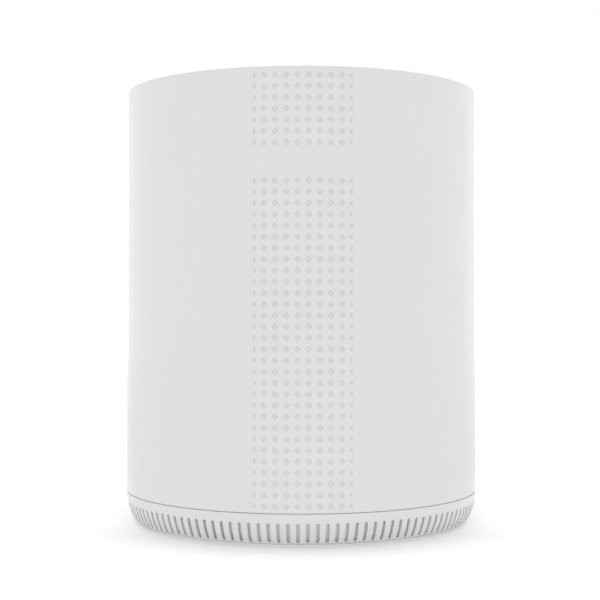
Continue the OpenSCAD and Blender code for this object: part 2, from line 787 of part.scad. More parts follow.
module lid_liner() {
    wall_t = 1.5;
    color("silver") at_axis() difference() {
        translate([0, 0, liner_z]) rotate_extrude() difference() {
            square([liner_r, lid_z - liner_z]);
            translate([-over, liner_t]) square([liner_r - wall_t + over, lid_z - liner_z]);
        }
        for (side = [0, 180]) rotate([0, 0, side]) translate([0, 0, bar_z - 0.6])
            ring_slice(liner_r + over, liner_r - 3 * over, bar_t + 1.2, -lock_angle - window_slack,
                lock_angle + 2 * window_slack);
        for (a = boss_spots) rotate([0, 0, a]) translate([boss_ring, 0, liner_z - over])
            cylinder(r = screw_r + play, h = liner_t + 2 * over);
    }
}

module lid_gasket() {
    color("dimgray") at_axis() translate([0, 0, liner_z + 0.4]) rotate_extrude() translate([liner_r, 0]) {
        square([0.7, 2.8]);
        translate([0, 0.7]) square([mouth_r - play - liner_r, 0.7]);
        translate([0, 2]) square([mouth_r - play - liner_r, 0.7]);
    }
}

module lid_screws() {
    color("silver") at_axis() for (a = boss_spots) rotate([0, 0, a]) translate([boss_ring, 0, liner_z]) {
        translate([0, 0, -1.4]) cylinder(r = head_r, h = 1.4);
        cylinder(r = screw_r, h = 8);
    }
}

module lock_dial() {
    arch = 150;                                    // radius of the grip's arched back
    scoop_r = 22;                                  // finger hollows beside the grip
    top = lid_top + grip_h;
    color("lightgray") at_axis() difference() {
        union() {
            translate([0, 0, dish_z + seat]) cylinder(r = dial_r, h = dial_t);
            intersection() {
                translate([0, 0, dish_z + seat]) linear_extrude(40) {
                    square([grip_l - grip_w, grip_w], center = true);
                    for (s = [-1, 1]) translate([s * (grip_l - grip_w) / 2, 0]) circle(grip_w / 2);
                }
                translate([0, grip_w, top - arch]) rotate([90, 0, 0])
                    cylinder(r = arch, h = 2 * grip_w, $fn = 200);
            }
            translate([0, 0, bar_z + bar_t])
                cylinder(r = shaft_hole_r - 0.1, h = dish_z + seat + 1 - bar_z - bar_t);
            translate([-5, -5, bar_z]) cube([10, 10, bar_t + 1]);
        }
        for (s = [-1, 1]) translate([0, s * (grip_w / 2 - 3 + scoop_r),
            dish_z + seat + dial_t + scoop_r - 2])
            sphere(r = scoop_r);
        translate([0, 0, bar_z - over]) cylinder(r = 1.6, h = 11);
    }
}

module lock_bar() {
    color("silver") at_axis() translate([0, 0, bar_z]) linear_extrude(bar_t) difference() {
        union() {
            square([2 * bar_l, bar_end_w], center = true);
            square([2 * (liner_r - 12), bar_end_w + 6], center = true);
            circle(14);
        }
        square(10 + 2 * running, center = true);
    }
}

module lock_screw() {
    color("silver") at_axis() translate([0, 0, bar_z]) {
        translate([0, 0, -1.8]) cylinder(r = 7.5, h = 1.8);
        cylinder(r = 1.55, h = 9);
    }
}

// ---- bucket ----

ear_x = bucket_r - 2;                     // inner face of a bail ear
ear_t = 4;
bail_in = ear_x + ear_t + 0.5;
bail_w = 4;
bail_z = bucket_z + 3.5;                  // height of the bail's pivots
bail_t = 4.6;
pin_r = 2;

module bucket() {
    h = bucket_depth + bucket_floor;
    color("slategray") at_axis() difference() {
        union() {
            translate([0, 0, bucket_low]) rotate_extrude() difference() {
                union() {
                    difference() {
                        intersection() {
                            cup2d(bucket_out, h, bucket_round + bucket_wall);
                            square([bucket_out, h]);
                        }
                        intersection() {
                            translate([0, bucket_floor]) cup2d(bucket_r, h, bucket_round);
                            translate([0, bucket_floor]) square([bucket_r, h]);
                        }
                    }
                    translate([bucket_r, h - bucket_rim_t])
                        square([bucket_wall + bucket_rim, bucket_rim_t]);
                    square([tower_r, bucket_floor + tower_h]);
                }
                square([tower_r - 3, bucket_floor + tower_h - tower_cap]);
                square([stir_shaft_r + bush_wall, h]);
            }
            for (s = [0, 180]) rotate([0, 0, s]) translate([ear_x, 0, bucket_z - 1]) {
                translate([0, -6, 0]) cube([ear_t, 12, bail_z - bucket_z + 1]);
                translate([0, 0, bail_z - bucket_z + 1]) rotate([0, 90, 0]) cylinder(r = 4.2, h = ear_t);
            }
        }
        for (s = [0, 180]) rotate([0, 0, s]) translate([ear_x - over, 0, bail_z]) rotate([0, 90, 0])
            cylinder(r = pin_r, h = ear_t + 2 * over);
    }
}

module bucket_bail() {
    color("silver") at_axis() difference() {
        union() {
            translate([0, 0, bail_z - bail_t / 2]) ring_slice(bail_in + bail_w, bail_in, bail_t, 0, 180);
            for (s = [-1, 1]) translate([s * (bail_in + bail_w / 2) - bail_w / 2, 0, bail_z])
                rotate([0, 90, 0])
                cylinder(r = 3.2, h = bail_w);
        }
        for (s = [-1, 1]) translate([s * (bail_in + bail_w / 2) - bail_w, 0, bail_z]) rotate([0, 90, 0])
            cylinder(r = pin_r + running, h = 2 * bail_w);
    }
}

module bail_grip() {
    grip_half = 24;
    color("dimgray") at_axis() translate([0, 0, bail_z - bail_t / 2]) rotate([0, 0, 90 - grip_half])
        difference() {
        rotate_extrude(angle = 2 * grip_half) translate([bail_in - 1, -0.8])
            square([bail_w + 2.6, bail_t + 1.6]);
        rotate([0, 0, -over]) rotate_extrude(angle = 2 * grip_half + 2 * over) translate([bail_in, 0])
            square([bail_w, bail_t]);
    }
}

module bail_pins() {
    color("silver") at_axis() for (s = [0, 180]) rotate([0, 0, s]) translate([ear_x - 1.5, 0, bail_z])
        rotate([0, 90, 0]) {
        cylinder(r = 3, h = 1.5);
        cylinder(r = pin_r, h = 1.5 + ear_t + 0.5 + bail_w + 0.5);
        translate([0, 0, 2 + ear_t + bail_w + 0.3]) cylinder(r = 3, h = 1);
    }
}

module shaft_bush() {
    color("darkgoldenrod") at_axis() translate([0, 0, floor_z + tower_h - tower_cap]) {
        ring(stir_shaft_r + bush_wall, stir_shaft_r + running, tower_cap);
        translate([0, 0, tower_cap]) ring(stir_shaft_r + bush_wall + 2.5, stir_shaft_r + running, 1.5);
    }
}

coupler_low = bucket_low + 2;
coupler_top = floor_z + tower_h - tower_cap - 0.5;
coupler_cap = 3;

module stirrer_shaft() {
    color("silver") at_axis() translate([0, 0, coupler_top - coupler_cap])
        cylinder(r = stir_shaft_r, h = arm_z + hub_h + 5 - coupler_top + coupler_cap);
}

// Sickle-shaped arm seen from above, pointing along +X
module arm2d() {
    difference() {
        union() {
            polygon([[0, -8], [arm_reach * 0.7, -7], [arm_reach, -1], [arm_reach, 5], [0, 8]]);
            circle(hub_r);
        }
        translate([arm_reach * 0.55, 34]) circle(30);
    }
}

module stirrer() {
    scrape_in = tower_r + 3.5;
    color("lightslategray") at_axis() difference() {
        union() {
            translate([0, 0, arm_z - 1]) cylinder(r = hub_r, h = hub_h);
            for (k = [0:2]) rotate([0, 0, 120 * k]) translate([0, 0, arm_z + k * arm_step])
                linear_extrude(arm_t) arm2d();
            translate([scrape_in, -7, floor_z + 1.5]) cube([10, 5, arm_z - floor_z]);
            translate([scrape_in, -7, floor_z + 1.5]) cube([arm_reach - bucket_round - scrape_in, 3, 10]);
            translate([arm_reach - bucket_round - 8, -7, floor_z + 1.5]) cube([8, 3, arm_z - floor_z]);
        }
        translate([0, 0, arm_z - 2 * over]) cylinder(r = stir_shaft_r, h = hub_h + 4 * over);
    }
}

module stirrer_nut() {
    color("silver") at_axis() translate([0, 0, arm_z + hub_h - 1]) difference() {
        union() {
            cylinder(r = 9, h = 6);
            translate([0, 0, 6]) intersection() {
                translate([0, 0, -5]) sphere(r = 10.3);
                cylinder(r = 9, h = 8);
            }
        }
        translate([0, 0, -over]) cylinder(r = stir_shaft_r, h = 6 + over);
    }
}

module spline2d(grow) {
    circle(spline_root + grow);
    for (k = [0:spline_n - 1]) rotate(k * 360 / spline_n) translate([0, -spline_w / 2 - grow])
        square([spline_tip + grow, spline_w + 2 * grow]);
}

module bucket_coupler() {
    color("dimgray") at_axis() difference() {
        translate([0, 0, coupler_low]) cylinder(r = coupler_r, h = coupler_top - coupler_low);
        translate([0, 0, coupler_low - over]) linear_extrude(coupler_top - coupler_cap - coupler_low - 1)
            spline2d(spline_play);
        cylinder(r = stir_shaft_r, h = coupler_top + over);
    }
}

module fixed_blades() {
    color("lightslategray") at_axis() for (k = [0, 1]) rotate([0, 0, 60 + 180 * k])
        translate([0, 0, arm_z + arm_t + k * arm_step + (arm_step - arm_t - blade_t) / 2]) {
            linear_extrude(blade_t) intersection() {
                polygon([[hub_r + 12, 2], [hub_r + 14, -2], [bucket_r + over, -11], [bucket_r + over, 11]]);
                circle(bucket_r);
            }
        }
}

// ---- drive ----

module drive_coupler() {
    color("dimgray") at_axis() difference() {
        union() {
            translate([0, 0, pot_floor_z + 1]) cylinder(r = spline_tip, h = 3);
            translate([0, 0, pot_floor_z + 1])
                linear_extrude(coupler_top - coupler_cap - pot_floor_z - 4.5) spline2d(0);
        }
        translate([0, 0, pot_floor_z]) cylinder(r = lower_shaft_r, h = 12);
    }
}

module output_shaft() {
    color("silver") at_axis() {
        translate([0, 0, case_floor + 0.5])
            cylinder(r = lower_shaft_r, h = pot_floor_z + 12 - case_floor - 0.5);
        translate([0, 0, case_floor + lower_bearing_w + 0.5])
            cylinder(r = out_shaft_r, h = pot_floor_z - case_floor - lower_bearing_w);
    }
}

module output_gear() {
    color("darkgray") at_axis() translate([0, 0, slow_z]) difference() {
        linear_extrude(slow_w) polygon(gear_points(slow_teeth[0], slow_module));
        translate([0, 0, -over]) cylinder(r = out_shaft_r, h = slow_w + 2 * over);
        for (a = [0:60:300]) rotate([0, 0, a]) translate([27, 0, -over])
            cylinder(r = 9, h = slow_w + 2 * over);
        for (z = [-over, slow_w - 2.5]) translate([0, 0, z]) ring(41, 14, 2.5 + over);
    }
}

// Shielded ball bearing
module bearing(r_out, r_in, w) {
    race = (r_out - r_in) * 0.3;
    shield = 0.6;
    rotate_extrude() translate([r_in, 0]) {
        square([race, w]);
        translate([0, shield]) square([r_out - r_in, w - 2 * shield]);
        translate([r_out - r_in - race, 0]) square([race, w]);
    }
}

module shaft_bearings() {
    color("silver") at_axis() {
        translate([0, 0, cover_z + cover_t - bearing_w])
            bearing(upper_bearing_r, out_shaft_r + running, bearing_w);
        translate([0, 0, case_floor]) bearing(lower_bearing_r, lower_shaft_r + running, lower_bearing_w);
    }
}

module idler_pin() {
    color("silver") translate([0, idler_y, case_floor - 2])
        cylinder(r = idler_pin_r, h = cover_z - case_floor + 4);
}

module idler_gear() {
    color("dimgray") translate([0, idler_y, 0]) difference() {
        union() {
            translate([0, 0, slow_z - 1]) rotate([0, 0, 180 / slow_teeth[1]])
                linear_extrude(fast_z - slow_z + 1.5) polygon(gear_points(slow_teeth[1], slow_module));
            translate([0, 0, fast_z]) linear_extrude(fast_w)
                polygon(gear_points(fast_teeth[0], fast_module));
        }
        translate([0, 0, slow_z - 2]) cylinder(r = idler_pin_r + running, h = fast_z + fast_w - slow_z + 4);
        for (a = [0:60:300]) rotate([0, 0, a + 30]) translate([22, 0, fast_z - over])
            cylinder(r = 6, h = fast_w + 2 * over);
    }
}

module motor_pinion() {
    color("silver") translate([0, motor_y, 0]) {
        translate([0, 0, fast_z - 1]) linear_extrude(fast_w + 2)
            polygon(gear_points(fast_teeth[1], fast_module));
        translate([0, 0, case_low - motor_l + 6])
            cylinder(r = motor_shaft_r, h = fast_z - case_low + motor_l - 6);
    }
}

module motor() {
    color("gray") translate([0, motor_y, case_low]) difference() {
        union() {
            translate([0, 0, -8]) cylinder(r = motor_r, h = 8);
            translate([0, 0, 8 - motor_l]) cylinder(r = motor_r - 1.5, h = motor_l - 16 + over);
            translate([0, 0, -motor_l]) cylinder(r = motor_r, h = 8);
            translate([0, 0, 20 - motor_l]) cylinder(r = motor_r, h = motor_l - 40);
            cylinder(r = 11, h = case_floor_t - 0.5);
        }
        translate([0, 0, 5 - motor_l]) cylinder(r = motor_shaft_r + running, h = motor_l + case_floor_t);
        for (a = [0:45:315]) rotate([0, 0, a]) translate([motor_r - 9, 0, -motor_l - over])
            cylinder(r = 3.5, h = 5);
    }
}

// Outline of the gear train, grown by g
module train2d(g) {
    at_slow = slow_module * slow_teeth[0] / 2 + slow_module + case_gap + g;
    at_idler = fast_module * fast_teeth[0] / 2 + fast_module + case_gap + g;
    at_motor = fast_module * (fast_teeth[1] / 2 + 1) + motor_room - case_wall + g;
    translate([0, axis_y]) circle(at_slow);
    translate([0, idler_y]) circle(at_idler);
    translate([0, motor_y]) circle(at_motor);
}

module gear_case() {
    color("gray") difference() {
        translate([0, 0, case_low]) linear_extrude(cover_z - case_low) train2d(case_wall);
        difference() {
            translate([0, 0, case_floor]) linear_extrude(gear_room + over) train2d(0);
            at_axis() cylinder(r = lower_bearing_r + 3, h = case_floor + lower_bearing_w);
        }
        at_axis() translate([0, 0, case_floor]) cylinder(r = lower_bearing_r, h = gear_room);
        translate([0, idler_y, case_floor - 2]) cylinder(r = idler_pin_r, h = 10);
        translate([0, motor_y, case_low - over]) cylinder(r = 11 + play, h = case_floor_t + 2 * over);
    }
}

module gear_cover() {
    color("gray") difference() {
        union() {
            translate([0, 0, cover_z]) linear_extrude(cover_t) train2d(case_wall);
            at_axis() translate([0, 0, cover_z + cover_t - bearing_w - 1])
                cylinder(r = upper_bearing_r + 3, h = bearing_w + 1);
        }
        at_axis() translate([0, 0, cover_z + cover_t - bearing_w])
            cylinder(r = upper_bearing_r, h = bearing_w + over);
        at_axis() translate([0, 0, cover_z - 20]) cylinder(r = out_shaft_r + 3, h = 20 + cover_t);
        translate([0, idler_y, cover_z - over]) cylinder(r = idler_pin_r, h = 2 + over);
    }
}

// ---- air ----

// The duct's outer form, or its bore when grown inwards by d
module duct_form(d, past) {
    low = blower_z - inlet_r - 4;
    y0 = axis_y + mouth_out - 1.5;
    y1 = blower_y - duct_t;
    translate([-duct_w / 2 + d, y0 - past, duct_z + d])
        cube([duct_w - 2 * d, blower_y - d - y0 + past, duct_h - 2 * d]);
    translate([-duct_w / 2 + d, y1 + d, low + d])
        cube([duct_w - 2 * d, duct_t - 2 * d, duct_z + duct_h - low - 2 * d]);
}

module steam_duct() {
    color("darkorange") difference() {
        duct_form(0, 0);
        duct_form(duct_wall, over);
        at_axis() translate([0, 0, duct_z - over]) cylinder(r = mouth_out + 0.1, h = duct_h + 2 * over);
        translate([0, blower_y - duct_wall - over, blower_z]) rotate([-90, 0, 0])
            cylinder(r = inlet_r, h = duct_wall + 2 * over);
    }
}

module scroll2d(d) {
    circle(scroll_r - d);
    translate([outlet_x[0] + d, bay_top - blower_z])
        square([outlet_x[1] - outlet_x[0] - 2 * d, blower_z - bay_top]);
}

module blower_housing() {
    inner_w = blower_w - 2 * blower_wall;
    color("gainsboro") translate([0, blower_y, blower_z]) difference() {
        translate([0, blower_w, 0]) rotate([90, 0, 0]) linear_extrude(blower_w) scroll2d(0);
        translate([0, blower_w - blower_wall, 0]) rotate([90, 0, 0]) linear_extrude(inner_w)
            scroll2d(blower_wall);
        translate([outlet_x[0] + blower_wall, blower_wall, bay_top - blower_z - over])
            cube([outlet_x[1] - outlet_x[0] - 2 * blower_wall, inner_w, 10]);
        rotate([-90, 0, 0]) translate([0, 0, -over]) cylinder(r = inlet_r, h = blower_wall + 2 * over);
        translate([0, blower_w - blower_wall - over, 0]) rotate([-90, 0, 0])
            cylinder(r = 4, h = blower_wall + 2 * over);
    }
}

module blower_wheel() {
    w = 16;
    color("dimgray") translate([0, blower_y + blower_wall + 3, blower_z]) rotate([-90, 0, 0]) difference() {
        union() {
            translate([0, 0, w - 1.5]) cylinder(r = wheel_r, h = 1.5);
            ring(wheel_r, wheel_r - 2.5, 1.5);
            for (k = [0:wheel_vanes - 1]) rotate([0, 0, k * 360 / wheel_vanes])
                translate([wheel_r - 4.3, 0, 0]) rotate([0, 0, 32]) translate([-3.6, -0.55, 0.3])
                    cube([7, 1.1, w - 0.8]);
            translate([0, 0, w - 9]) cylinder(r = 5, h = 9);
        }
        translate([0, 0, w - 8]) cylinder(r = 1.5, h = 10);
    }
}

module blower_motor() {
    y0 = blower_y + blower_w;
    color("gray") translate([0, y0, blower_z]) rotate([-90, 0, 0]) {
        difference() {
            cylinder(r = 14, h = 18);
            translate([0, 0, 15]) ring(11, 6, 3 + over);
        }
        translate([0, 0, -blower_wall - 6]) cylinder(r = 1.45, h = blower_wall + 6);
    }
}

module filter_bay() {
    color("gainsboro") difference() {
        intersection() {
            translate([-bay_w / 2, bay_y, bay_low]) cube([bay_w, body_d, bay_h]);
            translate([0, 0, bay_low - over]) linear_extrude(bay_h + 2 * over) oval2d(shell_wall + play);
        }
        translate([-bay_w / 2 + bay_wall, bay_y + bay_wall, bay_low + bay_wall])
            cube([bay_w - 2 * bay_wall, body_d, bay_h - 2 * bay_wall]);
        translate([outlet_x[0] + blower_wall, blower_y + blower_wall, bay_top - bay_wall - over])
            cube([outlet_x[1] - outlet_x[0] - 2 * blower_wall, blower_w - 2 * blower_wall,
                bay_wall + 2 * over]);
    }
}

module filter_case() {
    bars = 9;
    pitch = (filter_h - 16) / bars;
    color("dimgray") translate([-filter_w / 2, filter_y, filter_z]) difference() {
        union() {
            cube([filter_w, filter_d, filter_h]);
            translate([filter_w / 2 - 12, filter_d - over, filter_h / 2 - 3]) cube([24, over + 5, 6]);
        }
        translate([filter_wall, filter_wall, filter_wall])
            cube([filter_w - 2 * filter_wall, filter_d - 2 * filter_wall, filter_h - 2 * filter_wall]);
        for (k = [0:bars - 1], x = [8, filter_w / 2 + 14]) translate([x, -over, 8 + k * pitch])
            cube([filter_w / 2 - 22, filter_d + 2 * over, pitch - 3]);
    }
}

module filter_carbon() {
    gap = 0.2;
    color("black") translate([-filter_w / 2 + filter_wall + gap, filter_y + filter_wall + gap,
        filter_z + filter_wall + gap])
        cube([filter_w - 2 * (filter_wall + gap), filter_d - 2 * (filter_wall + gap),
            filter_h - 2 * (filter_wall + gap)]);
}

module filter_door() {
    vents = 9;
    lip = 1.6;
    lip_y = filter_y + filter_d + 6.5;
    pitch = (door_h - 44) / (vents - 1);
    vent_l = door_w - 56;
    color("whitesmoke") difference() {
        union() {
            intersection() {
                door_block(0, oval_c + body_r / 2);
                translate([0, 0, door_z - over]) linear_extrude(door_h + 2 * over) difference() {
                    oval2d(0);
                    oval2d(shell_wall);
                }
            }
            intersection() {
                difference() {
                    translate([-bay_w / 2 + bay_wall + play, lip_y, bay_low + bay_wall + play])
                        cube([bay_w - 2 * (bay_wall + play), body_d, bay_h - 2 * (bay_wall + play)]);
                    translate([-bay_w / 2 + bay_wall + play + lip, 0, bay_low + bay_wall + play + lip])
                        cube([bay_w - 2 * (bay_wall + play + lip), body_d,
                            bay_h - 2 * (bay_wall + play + lip)]);
                }
                translate([0, 0, door_z]) linear_extrude(door_h) oval2d(shell_wall / 2);
            }
        }
        for (k = [0:vents - 1]) translate([0, oval_c + body_r - 25, door_z + 14 + k * pitch])
            rotate([-90, 0, 0]) linear_extrude(40) {
                square([vent_l - 4, 4], center = true);
                for (s = [-1, 1]) translate([s * (vent_l / 2 - 2), 0]) circle(2);
            }
        translate([0, oval_c + body_r - 25, door_z + door_h + 2]) rotate([-90, 0, 0])
            cylinder(r = 11, h = 40);
    }
}

// ---- controls ----

module control_fascia() {
    color("darkgray") difference() {
        translate([0, 0, deck_z - panel_sink]) panel_slice(panel_r[0], panel_r[1], panel_t, panel_half);
        for (s = [-1, 1]) let (p = round_axis(panel_mid, -90 + s * button_angle))
            translate([p[0], p[1], deck_z - 5]) cylinder(r = button_r + play, h = 10);
        for (a = lens_angles) let (p = round_axis(panel_r[1] - 5, -90 + a * 5.5))
            translate([p[0], p[1], deck_z - 5]) cylinder(r = lens_r + running, h = 10);
    }
}

module control_board() {
    color("darkgreen") {
        translate([0, 0, board_z]) panel_slice(panel_r[0] + 1, panel_r[1] - 1, board_t, panel_half);
        for (s = [-1, 1]) let (p = round_axis(panel_mid, -90 + s * button_angle)) {
            translate([p[0] - 3, p[1] - 3, board_z + board_t]) cube([6, 6, 2.2]);
        }
    }
}

module push_button(side) {
    p = round_axis(panel_mid, -90 + side * button_angle);
    under = deck_z - deck_t - seat;
    color(side < 0 ? "white" : "seagreen") translate([p[0], p[1], 0]) {
        translate([0, 0, under - 1.5]) cylinder(r = button_r + 1.3, h = 1.5);
        translate([0, 0, under - 1]) cylinder(r = button_r, h = deck_z + 1.2 - under + 1);
        translate([0, 0, board_z + board_t + 2.2 + button_travel + 0.3])
            cylinder(r = 2.5, h = under - 1 - board_z - board_t - 2.5 - button_travel);
    }
}

module power_button() { push_button(-1); }

module start_button() { push_button(1); }

module status_lenses() {
    color("paleturquoise") for (a = lens_angles) let (p = round_axis(panel_r[1] - 5, -90 + a * 5.5))
        translate([p[0], p[1], board_z + board_t])
            cylinder(r = lens_r, h = deck_z + 0.4 - board_z - board_t);
}

// ---- base equipment ----

module fan_frame() {
    color("dimgray") translate([0, fan_y, fan_z]) difference() {
        linear_extrude(fan_t) rounded_rect([fan_size, fan_size], 5);
        difference() {
            translate([0, 0, -over]) cylinder(r = fan_bore, h = fan_t + 2 * over);
            translate([0, 0, 0]) cylinder(r = fan_size * 0.2, h = 4);
            for (a = [45:90:315]) rotate([0, 0, a]) translate([0, -2.5, 0]) cube([fan_bore + over, 5, 3]);
        }
        for (x = [-1, 1], y = [-1, 1]) translate([x * (fan_size / 2 - 5), y * (fan_size / 2 - 5), -over])
            cylinder(r = 2.2, h = fan_t + 2 * over);
        translate([0, 0, 1]) cylinder(r = 2.5, h = 10);
    }
}

module fan_rotor() {
    hub = fan_size * 0.21;
    blade_l = fan_bore - play - hub + 2;
    color("dimgray") translate([0, fan_y, fan_z]) {
        difference() {
            translate([0, 0, 5]) cylinder(r = hub, h = fan_t - 7);
            translate([0, 0, 5 - over]) cylinder(r = hub - 2, h = 4);
        }
        translate([0, 0, 1.5]) cylinder(r = 2.45, h = 10);
        intersection() {
            for (k = [0:6]) rotate([0, 0, k * 360 / 7]) translate([hub - 2, 0, fan_t / 2 + 1.5])
                rotate([38, 0, 0])
                translate([0, -11, -0.8]) cube([blade_l, 22, 1.6]);
            cylinder(r = fan_bore - 1.2, h = fan_t);
        }
    }
}

module power_board() {
    size = board_box[1] - board_box[0];
    color("darkgreen") translate([board_box[0][0], board_box[0][1], power_board_z]) {
        cube([size[0], size[1], board_t]);
        translate([8, 12, board_t]) cube([34, 28, 27]);
        for (y = [50, 68]) translate([16, y, board_t]) cylinder(r = 7, h = 22);
        translate([32, 50, board_t]) cube([18, 12, 15]);
        translate([30, 70, board_t]) cube([22, 4, 24]);
        translate([10, 82, board_t]) cube([36, 9, 12]);
    }
}

module mains_inlet() {
    y0 = body_d / 2 - inlet_flange_t;
    color("black") translate([0, y0, inlet_z]) {
        difference() {
            union() {
                rotate([-90, 0, 0]) linear_extrude(inlet_flange_t) rounded_rect(inlet_flange, 2);
                translate([-inlet_size[0] / 2, -inlet_depth, -inlet_size[1] / 2])
                    cube([inlet_size[0], inlet_depth, inlet_size[1]]);
            }
            translate([0, -17, 0]) rotate([-90, 0, 0]) linear_extrude(20)
                polygon([[-12.2, -4], [-8, -8.2], [8, -8.2], [12.2, -4], [12.2, 8.2], [-12.2, 8.2]]);
        }
        for (x = [-7, 0, 7]) translate([x - 1, -20, x == 0 ? 1 : -3]) cube([2, 18, 4]);
    }
}

outer_shell();
front_strip();
vent_skirt();
base_plate();
rubber_feet();
housing_screws();
frame_pillars();
drive_plate();
chassis_screws();
top_deck();
mouth_ring();
chamber_seal();
heater_pot();
band_heater();
heat_shield();
pot_standoffs();
lid_cover();
lid_liner();
lid_gasket();
lid_screws();
lock_dial();
lock_bar();
lock_screw();
bucket();
bucket_bail();
bail_grip();
bail_pins();
shaft_bush();
stirrer_shaft();
stirrer();
stirrer_nut();
bucket_coupler();
fixed_blades();
drive_coupler();
output_shaft();
output_gear();
shaft_bearings();
idler_pin();
idler_gear();
motor_pinion();
motor();
gear_case();
gear_cover();
steam_duct();
blower_housing();
blower_wheel();
blower_motor();
filter_bay();
filter_case();
filter_carbon();
filter_door();
control_fascia();
control_board();
power_button();
start_button();
status_lenses();
fan_frame();
fan_rotor();
power_board();
mains_inlet();
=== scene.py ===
"""Looks of the food waste composter: camera, light, materials and the pieces finer than CAD."""
import json
import math

import bpy
import bmesh
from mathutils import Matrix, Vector


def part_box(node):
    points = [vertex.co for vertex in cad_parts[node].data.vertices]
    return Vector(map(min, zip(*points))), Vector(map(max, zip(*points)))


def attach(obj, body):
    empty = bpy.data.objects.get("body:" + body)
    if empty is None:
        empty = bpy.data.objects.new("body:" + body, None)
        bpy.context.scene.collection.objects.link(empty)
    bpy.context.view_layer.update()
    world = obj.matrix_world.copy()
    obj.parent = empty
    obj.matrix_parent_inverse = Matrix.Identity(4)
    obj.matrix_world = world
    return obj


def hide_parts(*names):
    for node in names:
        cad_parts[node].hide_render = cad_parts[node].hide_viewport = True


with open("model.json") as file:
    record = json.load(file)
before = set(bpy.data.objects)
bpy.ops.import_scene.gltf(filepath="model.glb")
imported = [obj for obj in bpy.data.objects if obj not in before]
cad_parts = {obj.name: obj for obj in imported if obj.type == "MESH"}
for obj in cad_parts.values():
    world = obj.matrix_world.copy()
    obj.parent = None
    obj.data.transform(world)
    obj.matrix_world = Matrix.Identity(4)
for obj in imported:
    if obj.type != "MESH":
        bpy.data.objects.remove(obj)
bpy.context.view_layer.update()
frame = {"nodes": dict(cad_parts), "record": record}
nodes = frame["nodes"]
scene = bpy.context.scene
MM = 0.001

# Sizes repeated from the CAD source, in millimetres
BODY_R = 139.5
AXIS_Y = -23.0
PITCH = 7.88
DIMPLE = 5.1
DIMPLE_DEPTH = 0.45
ROWS_ABOVE = 7
PLAIN_BAND = 21.7
STRIP_T = 1.2
SKIRT_TOP = 25.1
SKIRT_CURVE = 40

FOOT_INSET = 8.4                              # mm from the body's outline in to the foot of its skirt
METAL_EDGE = 0.25                             # mm by which the edges of metal look rounded


# ---- camera, as in the photograph: level, standing back, the object turned by half a degree ----

def make_camera():
    turn = math.radians(0.49)
    away, height = 1038.7, 170.9
    focal, picture, sensor = 1286.2, 600, 36  # focal length and picture width in pixels, sensor in mm
    data = bpy.data.cameras.new("camera")
    data.sensor_width = sensor
    data.lens = focal / picture * sensor
    data.shift_x = -0.0022
    data.shift_y = 0.0104
    data.clip_start = 0.05
    data.clip_end = 50
    cam = bpy.data.objects.new("camera", data)
    cam.location = Vector((-away * math.sin(turn), AXIS_Y - away * math.cos(turn), height)) * MM
    cam.rotation_euler = (math.radians(90), 0, -turn)
    scene.collection.objects.link(cam)
    scene.camera = cam


make_camera()


# ---- node helpers ----

